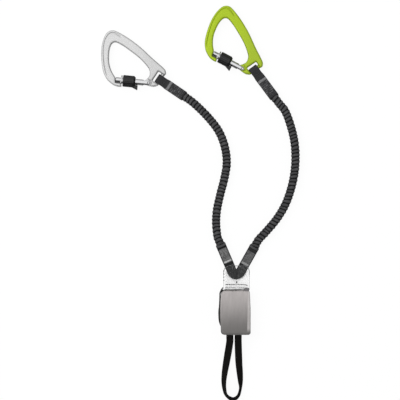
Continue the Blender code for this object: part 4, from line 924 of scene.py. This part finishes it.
tieIn = {
    "halfWidth": 5.75 * mm, "halfThick": 1.15 * mm, "height": 16.7, "legs": (-8.3, 4.9),
    "inside": (-19.0, -30.0, -40.2, -45.8), "foldPlace": -38.7 * mm, "blendHalf": 3.5 * mm,
    # x, y, z and the lean of the width from flat, in degrees
    "route": [(-10.0, -58.0, 12.8, 4), (-12.2, -71.0, 9.8, 16), (-14.4, -84.0, 7.9, 28),
              (-16.5, -97.0, 6.8, 41), (-17.8, -110.0, 6.0, 53), (-17.1, -122.0, 5.9, 63),
              (-13.8, -132.8, 5.9, 70),
              (-3.6, -139.4, 5.9, 58), (5.0, -134.2, 5.9, 68), (8.7, -122.0, 5.9, 73), (8.7, -110.0, 6.0, 51),
              (7.7, -97.0, 6.8, 34), (6.5, -84.0, 7.9, 22), (5.8, -71.0, 9.8, 10), (5.3, -58.0, 12.8, 4)],
}


def buildTieIn():
    # The strap's width direction turns from flat at the pouch to upright at the far end of the loop
    legs = [[(x, y, tieIn["height"], 0) for y in tieIn["inside"]] for x in tieIn["legs"]]
    points = smoothRun(legs[0] + tieIn["route"] + legs[1][::-1], 10)
    centre, lean = points[:, :3] * mm, np.radians(points[:, 3:])
    level = np.gradient(centre, axis=0)
    level[:, 2] = 0
    level = unit(level)
    side = stacked(-level[:, 1], level[:, 0], 0.0) * np.cos(lean) + upright * np.sin(lean)
    piece = strap("tie_in_webbing", centre, side, tieIn["halfWidth"], tieIn["halfThick"], looks["tieIn"])
    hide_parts("tie_in_loop", "tie_in_yoke")
    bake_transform(piece)


buildTieIn()
print("tie-in webbing done")

# Absorber webbing folded in the pouch, the stitches on its free end, and the clear sleeve

absorber = {
    "middle": 2.4, "halfWidth": 18.0 * mm, "halfThick": 1.25 * mm, "low": 3.9, "pitch": 3.2, "layers": 5,
    "foldReach": 27.0, "tab": 66.0, "tabInside": 50.0, "last": 5.0,
    "rows": {
        "upper": {"place": 44.4 * mm, "count": 13, "gap": 0.0, "bend": 15.0 * mm, "drop": 0.3},
        "lower": {"place": 39.9 * mm, "count": 13, "gap": 2.4 * mm, "bend": 5.0 * mm, "drop": 0.07},
    },
    "rowHalf": 16.6 * mm, "gapPlace": 2.2 * mm, "bumpPlace": 3.5 * mm, "bumpRise": 0.7 * mm,
    "markPlace": (2.7 * mm, 48.2 * mm), "markHalf": 0.4 * mm,
}


def buildAbsorber():
    # Flat runs stacked a pitch apart, joined by half turns at alternate ends
    height = absorber["low"]
    path = [(absorber["tab"], height), (absorber["tabInside"], height)]
    bend = absorber["pitch"] / 2
    turn = np.linspace(-math.pi / 2, math.pi / 2, 9)
    for layer in range(absorber["layers"] - 1):
        away = -1 if layer % 2 == 0 else 1
        path += [(away * (absorber["foldReach"] + bend * math.cos(a)), height + bend + bend * math.sin(a))
                 for a in turn]
        height += absorber["pitch"]
    path += [(absorber["last"], height)]
    line = smoothRun(path, 4)
    centre = stacked(absorber["middle"], line[:, 0], line[:, 1]) * mm
    piece = strap("absorber_tape", centre, np.array([1.0, 0, 0]), absorber["halfWidth"],
                  absorber["halfThick"], looks["absorber"], count=56, power=12.0)
    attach(piece, "pouch_body")
    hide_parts("absorber_webbing")

    # two rows across the free end, bent down at the right, and two upright stitches above them
    top = (absorber["low"] + 0.15) * mm + absorber["halfThick"]
    for name, row in absorber["rows"].items():
        x = np.linspace(-1, 1, row["count"]) * absorber["rowHalf"] + absorber["middle"] * mm
        x = x[np.abs(x - absorber["gapPlace"]) > row["gap"]]
        drop = np.clip(x - row["bend"], 0, None) * row["drop"]
        bump = np.exp(-((x - absorber["bumpPlace"]) / (1.8 * mm)) ** 2)
        run = stacked(1.0, 0.04 - row["drop"] * (drop > 0), 0.0)
        centres = stacked(x, row["place"] + absorber["bumpRise"] * bump - drop, top)
        piece = stitches(f"{name}_stitches", name, centres, run)
        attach(piece, "pouch_body")
        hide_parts(f"stitch_row_{name}")
    across, along = absorber["markPlace"]
    spots = stacked(across + np.array([-1, 1]) * absorber["markHalf"], along, top)
    piece = stitches("knot_stitches", "knot", spots, np.array([0.0, 1.0, 0.0]))
    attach(piece, "pouch_body")


film = {
    "middle": 2.4 * mm, "half": 20.7 * mm, "bottom": 36.1 * mm, "top": 74.6 * mm, "corner": 9.4 * mm,
    "seamStart": 44 * mm, "seamEnd": 51.5 * mm, "upper": 11.75 * mm, "lower": 0.35 * mm, "thick": 0.35 * mm,
    "roll": 5.5 * mm, "rimInset": 0.3 * mm, "rimRadius": 0.25 * mm, "topRimRadius": 0.55 * mm,
}


def filmLeaf(name, heightOf):
    # One leaf: rows along y, columns across it. Past the corner the half width follows a quarter circle.
    rows, cols = 60, 72
    t = np.linspace(0, 1, rows)
    y = film["bottom"] + (film["top"] - film["bottom"]) * (1 - (1 - t) ** 1.5)
    over = np.clip(y - (film["top"] - film["corner"]), 0, film["corner"])
    half = film["half"] - film["corner"] + np.sqrt(film["corner"] ** 2 - over**2)
    x = np.sin(np.linspace(-1, 1, cols) * math.pi / 2) * half[:, None]
    yy = np.broadcast_to(y[:, None], x.shape)
    z = heightOf(x, yy)
    upper = np.stack([x + film["middle"], yy, z + film["thick"] / 2], -1)
    lower = np.stack([x + film["middle"], yy, z - film["thick"] / 2], -1)
    grid = np.concatenate([upper, lower[:, ::-1]], 1)
    piece = bar(name, grid, y, distanceAround(grid[0]), looks["film"])
    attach(piece, "pouch_body")
    return piece


def upperLeaf(x, y):
    # high over the straps; below the seam's end its sides roll down to the lower leaf
    wave = 0.18 * mm * np.sin(x / (3.1 * mm) + 1.7 * np.sin(y / (7 * mm))) * np.sin(y / (5.2 * mm))
    edge = ramp(film["half"] - np.abs(x), 0, film["roll"])
    roll = np.sqrt(1 - (1 - edge) ** 2)
    joined = eased(1 - ramp(y, film["seamStart"], film["seamEnd"]))
    drop = (1 - roll) * joined * (film["upper"] - film["lower"] - 0.5 * mm)
    return film["upper"] - drop + wave * edge


def lowerLeaf(x, y):
    # flat, just above the floor
    return np.full(x.shape, film["lower"])


def buildFilm():
    upper = filmLeaf("clear_film_upper", upperLeaf)
    filmLeaf("clear_film_lower", lowerLeaf)
    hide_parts("clear_sleeve")

    # welded rim: a thin bead along both sides and over the top of the upper leaf, its dark grey a painted
    # shade for the dark line along the film's edge
    turn = np.linspace(0, math.pi / 2, 9)
    half, corner, top = film["half"] - film["rimInset"], film["corner"], film["top"] - film["rimInset"]
    right = [(half, y) for y in np.linspace(film["bottom"], top - corner, 16)]
    right += [(half - corner + corner * math.cos(a), top - corner + corner * math.sin(a)) for a in turn[1:]]
    x, y = np.array(right + [(-x, y) for x, y in right[::-1]]).T
    centre = smoothRun(stacked(x + film["middle"], y, upperLeaf(x, y) + 0.2 * mm), 3)
    grown = (film["topRimRadius"] - film["rimRadius"]) * ramp(centre[:, 1], 58 * mm, 62 * mm)
    thick = film["rimRadius"] + grown
    rim = strap("film_rim", centre, upright, thick, thick, looks["rim"], count=10, power=2.0)
    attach(rim, "pouch_body")

    # sewing along the left side of the sleeve
    y = np.arange(51.2, 67.0, 5.0) * mm
    bent = np.clip(y - (film["top"] - film["corner"]), 0, None)
    x = film["middle"] - film["half"] + 0.4 * mm + bent**2 / (2.2 * film["corner"])
    z = upperLeaf(x - film["middle"], y) + film["thick"] / 2 + 0.1 * mm
    piece = stitches("sleeve_stitches", "sleeve", stacked(x, y, z), np.array([0.0, 1.0, 0.0]))
    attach(piece, "pouch_body")


buildAbsorber()
buildFilm()
print("absorber and clear sleeve done")

# Pouch: a crowned cloth cover on a black back, a gusset down the left side, tape and pull tab

pouch = {
    "left": -22.5 * mm, "right": 24.9 * mm, "end": 35.6 * mm, "low": 18.75 * mm, "top": 22.3 * mm,
    "crown": 0.9 * mm, "roll": 5.0 * mm, "wall": 1.2 * mm, "seamRadius": 0.42 * mm,
    # across and along: top right, top left, bottom left, bottom right
    "corners": ((3.2 * mm, 4.4 * mm), (8.6 * mm, 7.6 * mm), (5.6 * mm, 12.5 * mm), (3.6 * mm, 3.6 * mm)),
    "bulge": 1.4 * mm, "taper": 1.35 * mm, "narrow": 0.3 * mm,
}
trim = {
    "tape": {"ends": (-17.2 * mm, 14.2 * mm), "y": 36.7 * mm, "z": 20.5 * mm, "climb": 0.7 * mm,
             "halfWidth": 1.75 * mm, "halfThick": 0.68 * mm},
    "tab": {"ends": (13.8 * mm, 22.9 * mm), "y": 37.1 * mm, "z": 21.4 * mm, "wave": 0.2 * mm,
            "halfWidth": 2.4 * mm, "halfThick": 0.85 * mm, "side": (0, 0.93, -0.36)},
}


def tapered(x, y):
    # the right side of the pouch drawn in a little, more towards the top
    share = ramp(x, 12 * mm, 20 * mm)
    return x - share * (pouch["narrow"] + pouch["taper"] * ramp(y, 5 * mm, 34 * mm))


def coverOutline(count):
    # Rectangle with its own quarter ellipse at each corner, evenly spaced along its length. The left side
    # then bulges like a parabola and the right side tapers towards the top.
    spots = []
    signs = ((1, 1, 0), (-1, 1, 90), (-1, -1, 180), (1, -1, 270))
    for (sx, sy, start), (wide, tall) in zip(signs, pouch["corners"]):
        x = (pouch["right"] if sx > 0 else pouch["left"]) - sx * wide
        y = sy * (pouch["end"] - tall)
        a = np.radians(np.linspace(start, start + 90, 12))
        spots.append(stacked(x + wide * np.cos(a), y + tall * np.sin(a)))
    loop = np.vstack(spots + [spots[0][:1]])
    x, y = evenRun(loop, count + 1)[:-1].T
    onLeft = ramp(-x, 12 * mm, 20 * mm)
    x = x - onLeft * pouch["bulge"] * np.clip(1 - ((y - 2 * mm) / (26 * mm)) ** 2, 0, 1)
    return stacked(tapered(x, y), y)


def buildCover():
    # Rings shrink from the outline to the middle. The height rises in a quarter ellipse over the roll and
    # then in a shallow crown, with tension waves near the ends; the same rings come back below it.
    count, rings = 220, 46
    outline = coverOutline(count)
    middle = np.array([(pouch["left"] + pouch["right"]) / 2, 0.0])
    share = 1 - np.linspace(0.004, 1, rings) ** 1.6
    share = np.concatenate([[1.0], share[share > 0.004]])[:, None, None]
    flat = middle + (outline - middle) * share
    inset = np.linalg.norm((outline - middle) * (1 - share), axis=-1)
    rollShare = ramp(inset, 0, pouch["roll"])
    x, y = flat[..., 0], flat[..., 1]
    rise = np.sqrt(1 - (1 - rollShare) ** 2)
    crown = pouch["crown"] * (1 - (x - middle[0]) ** 2 / (24 * mm) ** 2) * (1 - (y / (36 * mm)) ** 2)
    endward = (np.abs(y) / pouch["end"]) ** 3
    waves = (0.16 * mm * np.sin(x / (3.4 * mm) + 0.8 * np.sin(y / (11 * mm))) * endward
             + 0.14 * mm * np.sin(y / (6.5 * mm) + x / (9 * mm)) * np.sin(x / (7 * mm)))
    z = pouch["low"] + (pouch["top"] - pouch["low"] + np.clip(crown, 0, None) + waves) * rise
    pinch = 0.12 * mm * np.sin(np.arange(count) * 2 * math.pi / count * 17) * (1 - rollShare)
    flat = flat - unit(outline - middle) * (0.12 * mm + pinch[..., None])
    outer = np.concatenate([flat, z[..., None]], -1)
    inner = outer.copy()
    inner[..., :2] = middle + (inner[..., :2] - middle) * 0.955
    inner[..., 2] = np.maximum(inner[..., 2] - pouch["wall"], pouch["low"])
    grid = np.concatenate([outer[::-1], inner], 0)
    piece = bar("cover_cloth", grid, distanceAlong(grid[:, 0]), distanceAround(outline), looks["cover"])
    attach(piece, "pouch_flap")
    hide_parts("pouch_cover")

    # sewn edge: a thin cord-like seam round the outline, which all but meets its own start
    spots = middle + (outline - middle) * 0.992
    seam = stacked(spots[:, 0], spots[:, 1], pouch["low"] + 0.55 * mm)
    seam = np.vstack([seam, seam[-1:] + (seam[:1] - seam[-1:]) * 0.98])
    piece = strap("cover_seam", seam, upright, pouch["seamRadius"], pouch["seamRadius"], looks["seamTape"],
                  count=10, power=2.0)
    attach(piece, "pouch_flap")


def buildTrim():
    # tape folded over the top edge of the cover, thicker to the right, and the pull tab beside it
    tape, tab = trim["tape"], trim["tab"]
    x = np.linspace(*tape["ends"], 28)
    bulge = np.sin(np.linspace(0, math.pi, 28)) ** 0.3
    rise = 0.15 * mm * np.sin(x / (6 * mm)) + tape["climb"] * ramp(x, 2 * mm, 14 * mm)
    piece = strap("cover_tape", stacked(x, tape["y"] + rise, tape["z"]), upright,
                  tape["halfWidth"] * (0.8 + 0.2 * bulge), tape["halfThick"] * (0.75 + 0.25 * bulge),
                  looks["tape"], count=28, power=3.0)
    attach(piece, "pouch_flap")
    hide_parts("cover_binding")
    x = np.linspace(*tab["ends"], 24)
    end = np.maximum(within(x, x[0], x[-1], 1.0 * mm), 0.25) ** 0.5
    grow = 0.85 + 0.15 * ramp(x, x[0], x[0] + 3 * mm)
    centre = stacked(x, tab["y"], tab["z"] + tab["wave"] * np.sin(x / (3.1 * mm)))
    piece = strap("pull_tab", centre, np.array(tab["side"]), tab["halfWidth"] * end * grow,
                  tab["halfThick"] * end, looks["tab"], count=28, power=3.0)
    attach(piece, "pouch_flap")
    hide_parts("cover_pull_tab")


# how many times as far the gusset stands out beyond its seam, at places along it in mm
gussetSwell = {-27: 0.1, -22.5: 0.15, -20: 0.55, -16: 1.1, -10: 1.4, -3: 1.35, 3: 1.2, 9: 1.0}


def clothWaves(amount, side=False):
    # moves points along their normals by crossed slow waves, most at half height. The side gusset also
    # swells beyond its seam in the middle of its length and draws in at its lower end.
    def shape(places, normals):
        x, y, z = places.T / mm
        wave = np.sin(y / 5.1 + 0.6 * np.sin(z / 2.7)) * 0.6 + np.sin(y / 11.3 + x / 6.2) * 0.4
        belly = np.clip(np.sin(np.clip(z / 18.3, 0, 1) * math.pi), 0, 1)
        level = np.sqrt(np.clip(1 - normals[:, 2] ** 2, 0, 1))
        moved = places + normals * (wave * belly * level * amount)[:, None]
        if side:
            swell = np.interp(y, list(gussetSwell), list(gussetSwell.values()))
            beyond = moved[:, 0] - pouch["left"]
            moved[:, 0] = pouch["left"] + beyond * np.where(beyond < 0, swell, 1)
        moved[:, 0] = tapered(moved[:, 0], moved[:, 1])
        return moved
    return shape


buildCover()
buildTrim()
tray = softened("back_cloth", "pouch_tray", 0.62 * mm, 4, looks["blackCloth"], shape=clothWaves(0.35 * mm))
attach(tray, "pouch_body")
gusset = softened("side_gusset", "pouch_gusset", 0.5 * mm, 6, looks["blackCloth"],
                  shape=clothWaves(0.3 * mm, side=True))
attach(gusset, "pouch_body")
print("pouch done")

# Carabiners: each node is softened in its own upright place and put back

carabiners = {
    "left": {"pivot": (-138.3, 366.5, 9.4), "heading": -5.3, "frame": "silver"},
    "right": {"pivot": (11.9, 389.4, 9.4), "heading": -27.6, "frame": "lime"},
    "tilt": -2.9073, "depth": 1.0 * mm, "reach": 1.2 * mm,
    "channel": [(-64.5, 2.0), (-69.0, 10.5), (-73.6, 27.5), (-76.2, 45.5), (-75.2, 61.0), (-70.6, 71.0),
                (-64.0, 74.6), (-56.0, 72.6), (-47.5, 67.6)],
    # piece, node, body, size of the even mesh, rounds of wear, finish
    "pieces": [
        ("forged_frame", "frame", "carabiner", 0.62 * mm, 20, None),
        ("gate_tube", "gate", "gate_arm", 0.34 * mm, 12, "gate"),
        ("ring", "front_ring", "gate_arm", 0.24 * mm, 8, "steel"),
        ("sleeve_shell", "lock_sleeve", "lock", 0.36 * mm, 4, "nylon"),
    ],
    # node, coil radius, wire radius, curls, joint (not used), travel, end that stays, room at the
    # high end
    "springs": [
        ("gate_spring", 2.5 * mm, 0.45 * mm, 6, "plunger_slides", 1.6 * mm, "high", 0),
        ("sleeve_spring", 6.05 * mm, 0.5 * mm, 5, "sleeve_slides", 8.0 * mm, "low", 1.2 * mm),
    ],
}
# plain numbers are mm along the gate's axis from its hinge, across it and up
grip = {
    "grooves": 14, "depth": 0.35 * mm, "radii": (8.9, 9.9), "along": (25.0, 39.6),
    "shoulder": (20.0, 24.0), "shoulderIn": 0.22, "setBack": 0.9 * mm,
}
pocket = {"along": (44.2, 54.2), "across": (-5.0, 6.5), "up": 4.7, "edge": 0.8, "slotShade": 0.1}


def sleeveGrip(places, normals):
    # shallow grooves along the sleeve, on its round side only, ending short of both faces. The shoulder
    # towards the hinge is rounded off and the front end set back a little.
    angle = np.arctan2(places[:, 2], places[:, 1])
    radius = np.hypot(places[:, 1], places[:, 2]) / mm
    along = -places[:, 0] / mm
    groove = np.clip(np.cos(angle * grip["grooves"]), 0, 1) ** 3
    groove = groove * within(radius, *grip["radii"], 0.3) * within(along, *grip["along"], 1.5)
    moved = places - normals * (groove * grip["depth"])[:, None]
    shoulder = (1 - ramp(along, *grip["shoulder"])) ** 2 * ramp(radius, 7.0, 8.5)
    shoulder = shoulder * ramp(places[:, 1], -2 * mm, 2 * mm)
    moved[:, 1:] *= 1 - grip["shoulderIn"] * shoulder[:, None]
    moved[:, 0] += grip["setBack"] * ramp(along, 30, 40)
    return moved


def forgedLines(places, normals):
    # shallow channel down the limb beside its outer edge and round the apex, on both faces: depth falls
    # off as a bell with the distance from a run of listed points
    line = smoothRun(np.array(carabiners["channel"]) * mm, 4)
    step = np.diff(line, axis=0)
    away = places[:, None, :2] - line[:-1]
    share = np.clip(np.sum(away * step, -1) / np.sum(step**2, -1), 0, 1)
    away = np.linalg.norm(away - share[..., None] * step, axis=-1).min(1)
    ends = np.linalg.norm(places[:, None, :2] - line[[0, -1]], axis=-1).min(1)
    depth = carabiners["depth"] * np.exp(-(away / carabiners["reach"]) ** 2) * ramp(ends, 0, 6 * mm)
    moved = places.copy()
    moved[:, 2] -= depth * np.sign(normals[:, 2]) * ramp(np.abs(normals[:, 2]), 0.5, 1)
    return moved


def frameShade(places):
    # 1 inside the pocket of the nose that holds the gate's tip, whose dark colour is painted shade for the
    # recess, and a slight darkening that grows towards the slot
    along, across, up = -places[:, 0] / mm, places[:, 1] / mm, np.abs(places[:, 2]) / mm
    inside = within(along, *pocket["along"], pocket["edge"])
    inside = inside * within(across, *pocket["across"], pocket["edge"])
    inside = inside * (1 - ramp(up, pocket["up"] - 0.6, pocket["up"]))
    return np.maximum(inside, pocket["slotShade"] * (1 - ramp(along, 0, 30)))


def buildSpring(side, place, node, radius, wire, curls, joint, travel, fixedEnd, room):
    # A helix: the angle grows evenly along the gate's axis, and a round wire is carried along it
    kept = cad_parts[f"{side}_{node}"].data
    places = np.empty(len(kept.vertices) * 3)
    kept.vertices.foreach_get("co", places)
    turn = np.array(place)
    origin, axis = turn[:3, 3], -turn[:3, 0]
    along = (places.reshape(-1, 3) - origin) @ axis
    low, high = along.min() + wire, along.max() - wire - room
    angle = np.linspace(0, curls * 2 * math.pi, curls * 36)
    steps = np.linspace(low, high, len(angle))
    local = stacked(-steps, radius * np.cos(angle), radius * np.sin(angle))
    centre = local @ turn[:3, :3].T + origin
    piece = strap(f"{side}_{node}_coil", centre, axis, wire, wire, looks["wire"], count=12, power=2.0)
    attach(piece, f"{side}_gate_arm")
    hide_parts(f"{side}_{node}")
    anchor = origin + axis * (high + wire if fixedEnd == "high" else low - wire)
    1 - travel / (high - low + 2 * wire)
    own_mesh(piece)


def buildCarabiner(side):
    spot = carabiners[side]
    place = Matrix.Translation(Vector(spot["pivot"]) * mm)
    place = place @ Matrix.Rotation(math.radians(spot["heading"]), 4, "Z")
    place = place @ Matrix.Rotation(math.radians(carabiners["tilt"]), 4, "X")
    for name, node, body, voxel, rounds, look in carabiners["pieces"]:
        shape = {"lock_sleeve": sleeveGrip, "frame": forgedLines}.get(node)
        piece = softened(f"{side}_{name}", f"{side}_{node}", voxel, rounds, looks[look or spot["frame"]],
                         turn=place, shape=shape, marks=("shade", frameShade) if node == "frame" else None)
        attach(piece, f"{side}_{body}")
    for spring in carabiners["springs"]:
        buildSpring(side, place, *spring)
    for node, look in (("gate_rivet", "steel"), ("plunger", "brass")):
        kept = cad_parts[f"{side}_{node}"]
        kept.data.materials.clear()
        kept.data.materials.append(looks[look].material)


for side in sides:
    buildCarabiner(side)
print("carabiners done")
